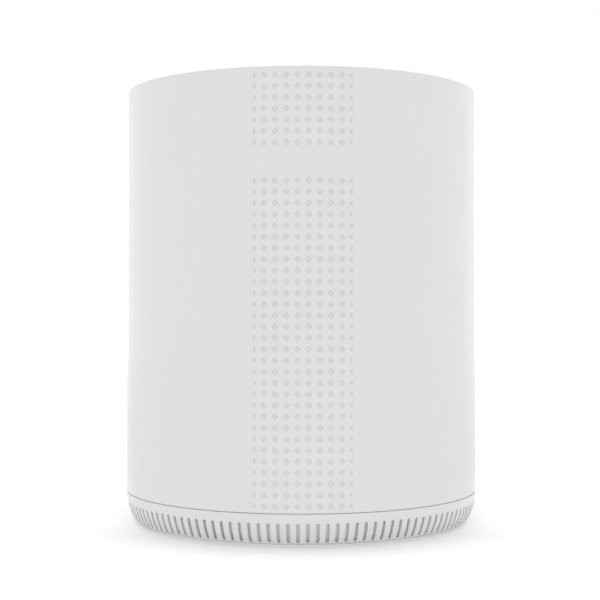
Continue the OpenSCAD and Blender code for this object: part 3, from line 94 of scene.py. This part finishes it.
class Nodes:
    """A material's node tree, with short calls for the nodes that the materials use."""

    def __init__(self, name):
        self.mat = bpy.data.materials.new(name)
        self.mat.use_nodes = True
        self.tree = self.mat.node_tree
        self.tree.nodes.clear()
        self.out = self.add("OutputMaterial")
        self.bsdf = self.add("BsdfPrincipled")
        self.link(self.bsdf.outputs[0], self.out.inputs["Surface"])
        self.coords = self.add("TexCoord").outputs["Object"]

    def add(self, kind, **props):
        node = self.tree.nodes.new("ShaderNode" + kind)
        for key, value in props.items():
            setattr(node, key, value)
        return node

    def link(self, a, b):
        self.tree.links.new(a, b)

    def put(self, name, value):
        """A value or a link on one of the shader's sockets."""
        socket = self.bsdf.inputs[name]
        if hasattr(value, "is_linked"):
            self.link(value, socket)
        elif isinstance(value, (tuple, list)) and len(value) == 3:
            socket.default_value = (*value, 1)
        else:
            socket.default_value = value

    def stretch(self, scale):
        node = self.add("Mapping")
        node.inputs["Scale"].default_value = scale
        self.link(self.coords, node.inputs["Vector"])
        return node.outputs[0]

    def noise(self, size_mm, detail=2.0, source=None, rough=0.5):
        node = self.add("TexNoise")
        node.inputs["Scale"].default_value = 1000 / size_mm
        node.inputs["Detail"].default_value = detail
        node.inputs["Roughness"].default_value = rough
        self.link(source or self.coords, node.inputs["Vector"])
        return node.outputs["Fac"]

    def cells(self, size_mm):
        node = self.add("TexVoronoi", feature="F1")
        node.inputs["Scale"].default_value = 1000 / size_mm
        self.link(self.coords, node.inputs["Vector"])
        return node.outputs["Distance"]

    def map(self, value, lo, hi, start=0.0, end=1.0):
        node = self.add("MapRange")
        for key, number in (("From Min", start), ("From Max", end), ("To Min", lo), ("To Max", hi)):
            node.inputs[key].default_value = number
        self.link(value, node.inputs["Value"])
        return node.outputs["Result"]

    def math(self, op, a, b=None):
        node = self.add("Math", operation=op)
        for socket, value in zip(node.inputs, (a, b)):
            if hasattr(value, "is_linked"):
                self.link(value, socket)
            elif value is not None:
                socket.default_value = value
        return node.outputs[0]

    def blend(self, factor, dark, pale):
        node = self.add("Mix", data_type="RGBA")
        self.link(factor, node.inputs[0])
        for socket, value in ((node.inputs[6], dark), (node.inputs[7], pale)):
            if hasattr(value, "is_linked"):
                self.link(value, socket)
            else:
                socket.default_value = (*value, 1)
        return node.outputs[2]

    def relief(self, height, depth_mm, edge_mm=0.0):
        """Bump of that depth, over edges that look rounded by edge_mm."""
        bump = self.add("Bump")
        bump.inputs["Strength"].default_value = 1.0
        bump.inputs["Distance"].default_value = depth_mm * MM
        self.link(height, bump.inputs["Height"])
        if edge_mm:
            bevel = self.add("Bevel", samples=4)
            bevel.inputs["Radius"].default_value = edge_mm * MM
            self.link(bevel.outputs[0], bump.inputs["Normal"])
        self.link(bump.outputs[0], self.bsdf.inputs["Normal"])

    def radius(self):
        """Distance from the bucket's axis, in metres."""
        parts = self.add("SeparateXYZ")
        self.link(self.coords, parts.inputs[0])
        y = self.math("ADD", parts.outputs["Y"], -AXIS_Y * MM)
        return self.math("SQRT", self.math("ADD", self.math("MULTIPLY", parts.outputs["X"],
                         parts.outputs["X"]), self.math("MULTIPLY", y, y)))


def plastic(name, color, rough, spread=0.04, grain_mm=0.5, depth_mm=0.012, shift=0.012, edge_mm=0.35,
            coat=0.0, ior=1.46):
    """Moulded plastic: faint colour drift, uneven gloss and a fine eroded grain."""
    n = Nodes(name)
    drift = n.noise(70, 2)
    n.put("Base Color", n.blend(drift, tuple(c * (1 - shift) for c in color),
                                tuple(min(1, c * (1 + shift)) for c in color)))
    n.put("Roughness", n.map(n.noise(9, 4), rough - spread, rough + spread, 0.3, 0.7))
    n.put("IOR", ior)
    if coat:
        n.put("Coat Weight", coat)
        n.put("Coat Roughness", 0.12)
    n.relief(n.noise(grain_mm, 3, rough=0.6), depth_mm, edge_mm)
    return n.mat


def metal(name, color, rough, spread=0.06, grain=(1, 1, 1), size_mm=1.0, depth_mm=0.008,
          tint=None, metallic=1.0, anisotropic=0.0):
    """Metal with brushing, casting or rolling marks, drawn by a stretched noise."""
    n = Nodes(name)
    marks = n.noise(size_mm, 4, n.stretch(grain), 0.65)
    wide = n.noise(26, 3)
    n.put("Base Color", n.blend(wide, tuple(c * 0.93 for c in color),
                                tint or tuple(min(1, c * 1.04) for c in color)))
    n.put("Metallic", metallic)
    n.put("Roughness", n.map(marks, rough - spread, rough + spread, 0.25, 0.75))
    if anisotropic:
        n.put("Anisotropic", anisotropic)
    n.relief(marks, depth_mm, METAL_EDGE)
    return n.mat


def turned(name, color, rough, step_mm, depth_mm):
    """Metal spun or turned round the bucket's axis: fine rings that follow the radius."""
    n = Nodes(name)
    wander = n.noise(14, 2)
    rings = n.add("TexNoise", noise_dimensions="1D")
    rings.inputs["Scale"].default_value = 1000 / step_mm
    rings.inputs["Detail"].default_value = 3
    n.link(n.math("ADD", n.radius(), n.math("MULTIPLY", wander, 0.0004)), rings.inputs["W"])
    n.put("Base Color", n.blend(wander, tuple(c * 0.92 for c in color), color))
    n.put("Metallic", 1.0)
    n.put("Roughness", n.map(rings.outputs["Fac"], rough - 0.07, rough + 0.07, 0.3, 0.7))
    n.relief(rings.outputs["Fac"], depth_mm, METAL_EDGE)
    return n.mat


def non_stick(name):
    """Dark non-stick coat with pale flecks, as sprayed on a cast bucket."""
    n = Nodes(name)
    flecks = n.map(n.cells(2.6), 1, 0, 0.0, 0.11)
    size = n.map(n.noise(7, 2), 0, 1, 0.46, 0.6)
    n.put("Base Color", n.blend(n.math("MULTIPLY", flecks, size), (0.042, 0.044, 0.047),
                                (0.28, 0.28, 0.28)))
    n.put("Roughness", n.map(n.noise(6, 3), 0.3, 0.42, 0.3, 0.7))
    n.put("Specular IOR Level", 0.6)
    n.relief(n.noise(0.9, 3, rough=0.6), 0.02, 0.4)
    return n.mat


def granular(name):
    """Activated carbon: packed pellets with dust between them."""
    n = Nodes(name)
    grains = n.cells(2.8)
    n.put("Base Color", n.blend(n.noise(3.5, 3), (0.012, 0.012, 0.013), (0.05, 0.05, 0.052)))
    n.put("Roughness", n.map(n.noise(1.2, 2), 0.55, 0.9, 0.3, 0.7))
    n.relief(n.map(grains, 1, 0, 0, 0.8), 1.2)
    return n.mat


def circuit(name):
    """Printed circuit board: solder mask over a maze of tracks, with tinned pads."""
    n = Nodes(name)
    track = n.add("TexBrick", offset=0.35, squash=0.6)
    for key, value in (("Scale", 1.0), ("Mortar Size", 0.00035), ("Brick Width", 0.009),
                       ("Row Height", 0.0023), ("Mortar Smooth", 0.1)):
        track.inputs[key].default_value = value
    n.link(n.coords, track.inputs["Vector"])
    pads = n.map(n.cells(3.1), 1, 0, 0.16, 0.2)
    mask = n.blend(track.outputs["Fac"], (0.018, 0.1, 0.045), (0.032, 0.2, 0.085))
    n.put("Base Color", n.blend(pads, mask, (0.62, 0.6, 0.55)))
    n.put("Roughness", n.map(pads, 0.34, 0.22))
    n.put("Metallic", n.map(pads, 0.0, 0.9))
    n.relief(n.math("ADD", track.outputs["Fac"], pads), 0.04, 0.1)
    return n.mat


def lens(name):
    """Frosted light pipe over a status lamp that is off."""
    n = Nodes(name)
    n.put("Base Color", n.blend(n.noise(1.5, 2), (0.72, 0.8, 0.82), (0.82, 0.88, 0.9)))
    n.put("Roughness", n.map(n.noise(0.8, 2), 0.22, 0.32))
    n.put("Transmission Weight", 0.5)
    n.put("IOR", 1.49)
    n.relief(n.noise(0.4, 2), 0.01, 0.2)
    return n.mat


WHITE = (0.681, 0.693, 0.687)
MATS = {
    "white_plastic": plastic("white_plastic", WHITE, 0.2, edge_mm=0, ior=1.5),
    # the dimples' sloped walls and floors: the white darkened as painted shade in the recesses, and
    # rougher
    "dimple_wall_painted_shade": plastic("dimple_wall_painted_shade", tuple(c * 0.885 for c in WHITE), 0.5, edge_mm=0),
    "dimple_floor_painted_shade": plastic("dimple_floor_painted_shade", tuple(c * 0.945 for c in WHITE), 0.46, edge_mm=0),
    "drip_plastic": plastic("drip_plastic", (0.8, 0.81, 0.805), 0.5, 0.05, 0.7, 0.02, 0.02, edge_mm=0),
    "base_plastic": plastic("base_plastic", (0.52, 0.53, 0.53), 0.6, 0.06, 0.8, 0.03, 0.03),
    "dark_plastic": plastic("dark_plastic", (0.02, 0.02, 0.021), 0.5, 0.06, 0.7, 0.03, 0.08),
    "dial_plastic": plastic("dial_plastic", (0.34, 0.35, 0.355), 0.38, 0.05, 0.5, 0.012, 0.02),
    "button_white": plastic("button_white", (0.78, 0.785, 0.79), 0.2, 0.03, 0.6, 0.004, 0.01, coat=0.4),
    "button_green": plastic("button_green", (0.075, 0.26, 0.105), 0.2, 0.03, 0.6, 0.004, 0.04, coat=0.4),
    "lens_clear": lens("lens_clear"),
    "foot_rubber": plastic("foot_rubber", (0.09, 0.09, 0.092), 0.82, 0.07, 0.6, 0.05, 0.15, ior=1.52),
    "seal_rubber": plastic("seal_rubber", (0.26, 0.27, 0.28), 0.62, 0.08, 0.9, 0.03, 0.05, ior=1.41),
    "plated_steel": metal("plated_steel", (0.6, 0.61, 0.63), 0.33, 0.08, size_mm=1.6,
                          tint=(0.66, 0.67, 0.62)),
    "liner_steel": metal("liner_steel", (0.62, 0.62, 0.63), 0.27, 0.06, (1, 14, 14), 6, 0.006,
                         anisotropic=0.4),
    "heater_steel": metal("heater_steel", (0.42, 0.36, 0.26), 0.4, 0.08, (1, 1, 6), 4, 0.01,
                          tint=(0.5, 0.42, 0.34)),
    "motor_steel": metal("motor_steel", (0.1, 0.105, 0.11), 0.42, 0.06, size_mm=0.9, depth_mm=0.02,
                         metallic=0.6),
    "gear_steel": turned("gear_steel", (0.3, 0.3, 0.31), 0.34, 0.7, 0.012),
    "stirrer_metal": metal("stirrer_metal", (0.4, 0.41, 0.43), 0.46, 0.07, size_mm=0.8, depth_mm=0.05),
    "pot_aluminium": turned("pot_aluminium", (0.66, 0.66, 0.67), 0.32, 0.9, 0.008),
    "case_aluminium": metal("case_aluminium", (0.5, 0.51, 0.52), 0.48, 0.08, size_mm=1.3, depth_mm=0.06),
    "bucket_coat": non_stick("bucket_coat"),
    "bush_brass": turned("bush_brass", (0.6, 0.42, 0.16), 0.28, 0.5, 0.006),
    "carbon": granular("carbon"),
    "board_green": circuit("board_green"),
    "ink": plastic("ink", (0.11, 0.115, 0.12), 0.5, 0.05, 0.4, 0.004, 0.05, edge_mm=0),
}


def dress():
    """Gives every CAD node the material of its slot in the record."""
    slots = {part["node"]: part["material_slot"] for part in frame["record"]["subparts"]}
    for name, obj in nodes.items():
        mat = MATS[slots[name]]
        if not obj.material_slots:
            obj.data.materials.append(mat)
        for slot in obj.material_slots:
            slot.material = mat


dress()


# ---- mesh helpers ----

def piece(name, verts, faces, body, slot, smooth=True):
    """A new mesh object in millimetres that rides on a body."""
    mesh = bpy.data.meshes.new(name)
    mesh.from_pydata([Vector(v) * MM for v in verts], [], faces)
    mesh.validate()
    obj = bpy.data.objects.new(name, mesh)
    scene.collection.objects.link(obj)
    work = bmesh.new()
    work.from_mesh(mesh)
    bmesh.ops.remove_doubles(work, verts=work.verts, dist=1e-7)
    work.to_mesh(mesh)
    work.free()
    mesh.shade_smooth() if smooth else mesh.shade_flat()
    mesh.materials.append(MATS[slot])
    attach(obj, body)
    return obj


def flip(verts, faces, outward):
    """Turns round each face whose normal points against outward(x, y, z) at its middle."""
    for k, face in enumerate(faces):
        corners = [Vector(verts[i]) for i in face]
        middle = sum(corners, Vector()) / len(corners)
        normal = (corners[1] - corners[0]).cross(corners[-1] - corners[0])
        if normal.dot(Vector(outward(*middle))) < 0:
            faces[k] = tuple(reversed(face))


# ---- front strip: the dimples with their sloped sides ----

def dimpled_strip():
    low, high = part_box("front_strip")
    z_low, z_high = low.z / MM, high.z / MM
    half = PITCH / 2
    reach = DIMPLE / 2
    side_u = 4.5 * PITCH - 0.12
    cut = 8                                   # segments along one side of a cell
    # how far in from a dimple's edge, and how deep there
    rings = [(-0.14, 0.0), (-0.04, 0.012), (0.06, 0.06), (0.62, 0.38), (0.72, 0.43), (0.86, DIMPLE_DEPTH)]
    first = z_high - 4.25
    rows = [first - k * PITCH for k in range(ROWS_ABOVE)]
    below = rows[-1] - DIMPLE - PLAIN_BAND
    rows += [below - k * PITCH for k in range(1 + round((below - z_low - 4.4) / PITCH))]
    verts, faces, wall, floor = [], [], [], []

    def at(u, z, depth=0.0):
        angle = u / BODY_R
        r = BODY_R - depth
        verts.append((r * math.sin(angle), AXIS_Y - r * math.cos(angle), z))
        return len(verts) - 1

    def band(a, b):
        for i in range(len(a)):
            j = (i + 1) % len(a)
            faces.append((a[i], a[j], b[j], b[i]))

    def walk(corners, steps):
        """Points along a closed outline, steps[i] of them on side i."""
        points = []
        for i, (u, z) in enumerate(corners):
            u2, z2 = corners[(i + 1) % len(corners)]
            for k in range(steps[i]):
                t = k / steps[i]
                points.append((u + (u2 - u) * t, z + (z2 - z) * t))
        return points

    def cell(outline, hole, centre, inner):
        """A cell of the strip: its outline, the dimple's corners, and the dimple's inscribed circle."""
        loop = [at(u, z) for u, z in walk(*outline)]
        for away, depth in rings:
            scale = 1 - away / inner
            points = walk([(centre[0] + (u - centre[0]) * scale, centre[1] + (z - centre[1]) * scale)
                           for u, z in hole[0]], hole[1])
            ring = [at(u, z, depth) for u, z in points]
            # the slope and the floor of each dimple are listed for darker materials: painted shade
            if 0 < away < 0.8:
                wall.extend(range(len(faces), len(faces) + len(loop)))
            elif away > 0.8:
                floor.extend(range(len(faces), len(faces) + len(loop)))
            band(loop, ring)
            loop = ring
        middle = at(*centre, DIMPLE_DEPTH)
        floor.extend(range(len(faces), len(faces) + len(loop)))
        for i in range(len(loop)):
            faces.append((loop[i], loop[(i + 1) % len(loop)], middle))

    def patch(u_values, z_top, z_bottom, steps):
        grid = [[at(u, z_top + (z_bottom - z_top) * j / steps) for u in u_values]
                for j in range(steps + 1)]
        for j in range(steps):
            for i in range(len(u_values) - 1):
                faces.append((grid[j][i], grid[j + 1][i], grid[j + 1][i + 1], grid[j][i + 1]))

    for z in rows:
        top = min(z + half, z_high)
        for c in range(-4, 4):
            u = (c + 0.5) * PITCH
            outline = [(u + half, z), (u + half, top), (u, top), (u - half, top), (u - half, z),
                       (u - half, z - half), (u, z - half), (u + half, z - half)]
            hole = [(u + reach, z), (u, z + reach), (u - reach, z), (u, z - reach)]
            cell((outline, [cut // 2] * 8), (hole, [cut] * 4), (u, z), reach / math.sqrt(2))
        for s in (-1, 1):
            u_in = s * 4 * PITCH
            edge = side_u - 0.03
            tip = s * (4.5 * PITCH - reach)
            legs = edge - abs(tip)
            inner = legs * (math.sqrt(2) - 1)
            centre = (s * (edge - inner), z)
            outline = [(u_in, z), (u_in, top), (s * side_u, top), (s * side_u, z - half),
                       (u_in, z - half)]
            steps = [cut // 2, cut // 2, cut, cut // 2, cut // 2]
            hole = ([(tip, z), (s * edge, z + legs), (s * edge, z - legs)], [cut, cut, cut])
            cell((outline, steps), hole, centre, inner)
    margin = [4 * PITCH + (side_u - 4 * PITCH) * k / 4 for k in range(1, 5)]
    columns = [k / cut * PITCH for k in range(-4 * cut, 4 * cut + 1)]
    columns = [-u for u in reversed(margin)] + columns + margin
    if z_high > rows[0] + half + 0.01:
        patch(columns, z_high, rows[0] + half, 1)
    patch(columns, rows[ROWS_ABOVE - 1] - half, rows[ROWS_ABOVE] + half, 8)
    patch(columns, rows[-1] - half, z_low, 2)
    flip(verts, faces, lambda x, y, z: (x, y - AXIS_Y, 0))
    # the four sides and the back
    back = BODY_R - STRIP_T
    front = [(math.atan2(x, AXIS_Y - y) * BODY_R, z, i) for i, (x, y, z) in enumerate(verts)]

    def behind(u, z):
        angle = u / BODY_R
        verts.append((back * math.sin(angle), AXIS_Y - back * math.cos(angle), z))
        return len(verts) - 1

    sides, ends = [], []
    for side, key, picked in ((sides, 1, [p for p in front if abs(p[0] - side_u) < 1e-3]),
                              (sides, 1, [p for p in front if abs(p[0] + side_u) < 1e-3]),
                              (ends, 0, [p for p in front if abs(p[1] - z_high) < 1e-3]),
                              (ends, 0, [p for p in front if abs(p[1] - z_low) < 1e-3])):
        picked.sort(key=lambda p: p[key])
        inner = [behind(u, z) for u, z, _ in picked]
        for i in range(len(picked) - 1):
            side.append((picked[i][2], picked[i + 1][2], inner[i + 1], inner[i]))
    stops = [z_high, (z_high + z_low) / 2, z_low]
    grid = [[behind(u, z) for u in columns] for z in stops]
    rear = [(grid[j][i], grid[j][i + 1], grid[j + 1][i + 1], grid[j + 1][i])
            for j in range(len(stops) - 1) for i in range(len(columns) - 1)]
    flip(verts, sides, lambda x, y, z: (x, 0, 0))
    flip(verts, ends, lambda x, y, z: (0, 0, z - stops[1]))
    flip(verts, rear, lambda x, y, z: (-x, AXIS_Y - y, 0))
    faces += sides + ends + rear
    strip = piece("dimpled_strip", verts, faces, "housing", "white_plastic")
    strip.data.set_sharp_from_angle(angle=math.radians(60))
    # darker copies of the white on the dimples' slopes and floors: painted shade in the recesses
    strip.data.materials.append(MATS["dimple_wall_painted_shade"])
    strip.data.materials.append(MATS["dimple_floor_painted_shade"])
    for index, chosen in ((1, wall), (2, floor)):
        for k in chosen:
            strip.data.polygons[k].material_index = index
    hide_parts("front_strip")


dimpled_strip()


# ---- drip band: the pale wall that shows through the vent slots ----

def drip_band():
    """A wall round the oval plan: it stands on the skirt's lip and leans out along the slots."""
    lean = SKIRT_CURVE - 3                    # radius of its arc, round the centre of the skirt's curve
    thick, low, ease = 1.1, 4.95, 0.2
    ridge_every, ridge = 24, 0.3              # shallow ribs inside stiffen it
    straight = -AXIS_Y
    heights = [low, low + 0.3, 6, 7.2] + [8.2 + k for k in range(13)]

    def inset(z):
        return min(FOOT_INSET, SKIRT_CURVE - math.sqrt(lean ** 2 - (SKIRT_TOP - z) ** 2))

    section = [(inset(z) + (ease if z == low else 0), z) for z in heights]
    section += [(inset(z) + thick - (ease if z == low else 0), z) for z in reversed(heights)]
    outline = []
    for back in (1, -1):
        steps = 144
        for k in range(steps + 1):
            turn = math.radians(180 * k / steps + (0 if back == 1 else 180))
            outline.append((math.cos(turn), math.sin(turn), back * straight, k))
    verts, faces = [], []
    for x, y, shift, k in outline:
        swell = ridge if k % ridge_every in (0, 1) else 0
        for j, (d, z) in enumerate(section):
            r = BODY_R - (d + (swell if j >= len(heights) and z > 8 else 0))
            verts.append((x * r, shift + y * r, z))
    n, m = len(outline), len(section)
    for i in range(n):
        for j in range(m):
            a, b = i * m + j, i * m + (j + 1) % m
            c, d = ((i + 1) % n) * m + (j + 1) % m, ((i + 1) % n) * m + j
            faces.append((a, d, c, b))
    band = piece("drip_band", verts, faces, "housing", "base_plastic", smooth=False)
    band.material_slots[0].material = MATS["drip_plastic"]


drip_band()


# ---- printed marks ----

def arc(x, y, r, start, end, width, steps=24):
    """A curved stroke: its two edges as lists of points."""
    turn = [math.radians(start + (end - start) * k / steps) for k in range(steps + 1)]
    return ([(x + (r + width / 2) * math.cos(t), y + (r + width / 2) * math.sin(t)) for t in turn],
            [(x + (r - width / 2) * math.cos(t), y + (r - width / 2) * math.sin(t)) for t in turn])


def bar(x, y, w, h):
    return ([(x - w / 2, y + h / 2), (x + w / 2, y + h / 2)],
            [(x - w / 2, y - h / 2), (x + w / 2, y - h / 2)])


def dot(x, y, r, steps=16):
    turn = [math.pi * k / steps for k in range(steps + 1)]
    return ([(x + r * math.cos(t), y + r * math.sin(t)) for t in turn],
            [(x + r * math.cos(t), y - r * math.sin(t)) for t in turn])


def printed(name, strokes, place, body, lift=0.05):
    """Strokes of ink, laid on a surface by place(x, y, height)."""
    verts, faces = [], []
    for left, right in strokes:
        rows = []
        for points, height in ((left, lift), (right, lift), (right, -0.03), (left, -0.03)):
            rows.append(list(range(len(verts), len(verts) + len(points))))
            verts += [place(x, y, height) for x, y in points]
        for a, b in zip(rows, rows[1:] + rows[:1]):
            faces += [(a[i], a[i + 1], b[i + 1], b[i]) for i in range(len(a) - 1)]
        faces += [tuple(row[0] for row in rows), tuple(row[-1] for row in reversed(rows))]
    obj = piece(name, verts, faces, body, "dark_plastic", smooth=False)
    obj.material_slots[0].material = MATS["ink"]


def make_marks():
    lid_top, slope_from, slope_to, drop = 346.0, 53.0, 109.0, 3.0
    padlock_r, pointer_r, icon_r, dial_top = 60, 46.6, 121.5, 345.5

    def on_lid(angle, r0):
        def place(x, y, height):
            a = math.radians(angle)
            x, y = r0 * math.sin(a) + x, AXIS_Y - r0 * math.cos(a) + y
            r = math.hypot(x, y - AXIS_Y)
            return (x, y, lid_top - drop * max(0, r - slope_from) / (slope_to - slope_from) + height)
        return place

    def flat(cx, cy, top):
        return lambda x, y, height: (cx + x, cy + y, top + height)

    def on_top(node):
        low, high = (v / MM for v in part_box(node))
        return flat((low.x + high.x) / 2, (low.y + high.y) / 2, high.z)

    body = [bar(0, -1.6, 6.4, 4.6)]
    printed("mark_locked", body + [arc(0, 0.7, 2.1, 0, 180, 0.8)], on_lid(50, padlock_r), "lid")
    printed("mark_open", body + [arc(2.1, 0.7, 2.1, 0, 165, 0.8)], on_lid(90, padlock_r), "lid")
    printed("mark_dial", [dot(0, 0, 1.1)], flat(pointer_r, AXIS_Y, dial_top), "dial")
    printed("mark_power", [arc(0, 0, 2.2, 122, 418, 0.55), bar(0, 1.7, 0.55, 2.4)],
            on_top("power_button"), "power_button")
    printed("mark_start", [([(-1.3, 2.1), (2.2, 0)], [(-1.3, -2.1), (2.2, 0)])],
            on_top("start_button"), "start_button")
    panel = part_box("control_fascia")[1].z / MM
    icons = ([bar(x, 0, 0.45, 3) for x in (-1.1, 0, 1.1)],
             [arc(0, 0, 1.5, 0, 360, 0.45), dot(0, 0, 0.55)],
             [bar(0, 0, 3.2, 0.45), bar(0, 0, 0.45, 3.2)])
    for name, angle, icon in zip(("dry", "grind", "cool"), (-22, 0, 22), icons):
        a = math.radians(angle)
        place = flat(icon_r * math.sin(a), AXIS_Y - icon_r * math.cos(a), panel)
        printed("mark_" + name, icon, place, "housing")


make_marks()


# ---- stage and light ----

def paper():
    """White paper that throws light up on the skirt, partly by its whiteness and partly by a ring round
    the foot that glows as painted light. The camera also sees light of its own on it, which lifts the
    machine's shadow: evenly beside and behind, while in front it dips just outside the foot into a painted
    shadow that reaches further out than the cast one."""
    shown, hidden = 0.7, 0.95                 # how white it is to the camera, and to all other rays
    foot = (BODY_R - FOOT_INSET) * MM
    near, far = foot - 0.01, foot + 0.06      # the reach in front of the painted shadow's ramp
    profile = ((0, 0.58), (0.086, 0.5), (0.143, 0.36), (0.2, 0.245), (0.35, 0.245), (0.64, 0.325),
               (1, 0.4))                      # places along that reach, and the light there; its dip is the painted shadow
    front_full, front_none = -0.108, -0.053   # between them along Y the front passes into the sides
    n = Nodes("floor_paper")
    parts = n.add("SeparateXYZ")
    n.link(n.coords, parts.inputs[0])
    past = n.math("MAXIMUM", n.math("SUBTRACT", n.math("ABSOLUTE", parts.outputs["Y"]), -AXIS_Y * MM), 0.0)
    away = n.math("SQRT", n.math("ADD", n.math("MULTIPLY", parts.outputs["X"], parts.outputs["X"]),
                  n.math("MULTIPLY", past, past)))
    # painted shadow in front: the camera's light on the paper follows this ramp by distance from the foot
    ramp = n.add("ValToRGB")
    n.link(n.map(away, 0, 1, near, far), ramp.inputs[0])
    stops = ramp.color_ramp.elements
    while len(stops) < len(profile):
        stops.new(0.5)
    for stop, (place, value) in zip(stops, profile):
        stop.position = place
        stop.color = (value, value, value, 1)
    ahead = n.map(parts.outputs["Y"], 1, 0, front_full, front_none)
    beside = n.math("MULTIPLY", n.math("SUBTRACT", 1.0, ahead),
                    n.map(away, 0.38, 0.42, foot, foot + 0.05))
    camera_lift_and_painted_shadow = n.math("ADD", n.math("MULTIPLY", ahead, ramp.outputs["Color"]), beside)
    # painted light: a ring of paper round the foot glows to all rays but the camera's, and lights the
    # skirt and lower body
    painted_glow_ring = n.math("MULTIPLY", n.map(away, 0, 0.15, foot + 0.01, foot + 0.05),
                    n.map(away, 1, 0, foot + 0.09, foot + 0.24))
    seen = n.add("LightPath").outputs["Is Camera Ray"]
    strength = n.math("ADD", n.math("MULTIPLY", seen, camera_lift_and_painted_shadow),
                      n.math("MULTIPLY", n.math("SUBTRACT", 1.0, seen), painted_glow_ring))
    diffuse, shine, both = n.add("BsdfDiffuse"), n.add("Emission"), n.add("AddShader")
    n.link(n.map(seen, hidden, shown), diffuse.inputs["Color"])
    n.link(strength, shine.inputs["Strength"])
    n.link(diffuse.outputs[0], both.inputs[0])
    n.link(shine.outputs[0], both.inputs[1])
    n.link(both.outputs[0], n.out.inputs["Surface"])
    n.tree.nodes.remove(n.bsdf)
    return n.mat


def make_stage():
    mesh = bpy.data.meshes.new("floor")
    half = 8.0
    mesh.from_pydata([(x * half, y * half, 0) for x, y in ((-1, -1), (1, -1), (1, 1), (-1, 1))], [],
                     [(0, 1, 2, 3)])
    floor = bpy.data.objects.new("floor", mesh)
    scene.collection.objects.link(floor)
    mesh.materials.append(paper())


def area_light(name, place, target, size, power, mirrored):
    """A soft panel that faces its target. One that isn't mirrored shows in no glossy surface."""
    data = bpy.data.lights.new(name, "AREA")
    data.shape = "RECTANGLE"
    data.size, data.size_y = size
    data.energy = power
    obj = bpy.data.objects.new(name, data)
    obj.location = place
    obj.visible_glossy = mirrored
    obj.rotation_euler = (Vector(target) - Vector(place)).to_track_quat("-Z", "Y").to_euler()
    scene.collection.objects.link(obj)


def make_light():
    world = bpy.data.worlds.new("world")
    scene.world = world
    world.use_nodes = True
    tree = world.node_tree
    tree.nodes.clear()
    out = tree.nodes.new("ShaderNodeOutputWorld")
    sky = tree.nodes.new("ShaderNodeBackground")
    sky.inputs["Color"].default_value = (1, 1, 1, 1)
    tree.links.new(sky.outputs[0], out.inputs["Surface"])
    away, middle, tall = 2.6, 0.46, 0.9       # all round the machine; angles run to the left
    for name, angle, wide, power in (("front", 0, 2.4, 4.7), ("left", 90, 2.4, 1.4),
                                     ("right", 270, 2.4, 1.4), ("rear_left", 130, 1.7, 1.2),
                                     ("rear_right", 230, 1.7, 1.2), ("back", 180, 2.4, 6.0)):
        a = math.radians(angle)
        area_light(name + "_soft", (-away * math.sin(a), -away * math.cos(a), middle), (0, 0, middle),
                   (wide, tall), power, name != "front")


make_stage()
make_light()

scene.view_settings.view_transform = "Standard"
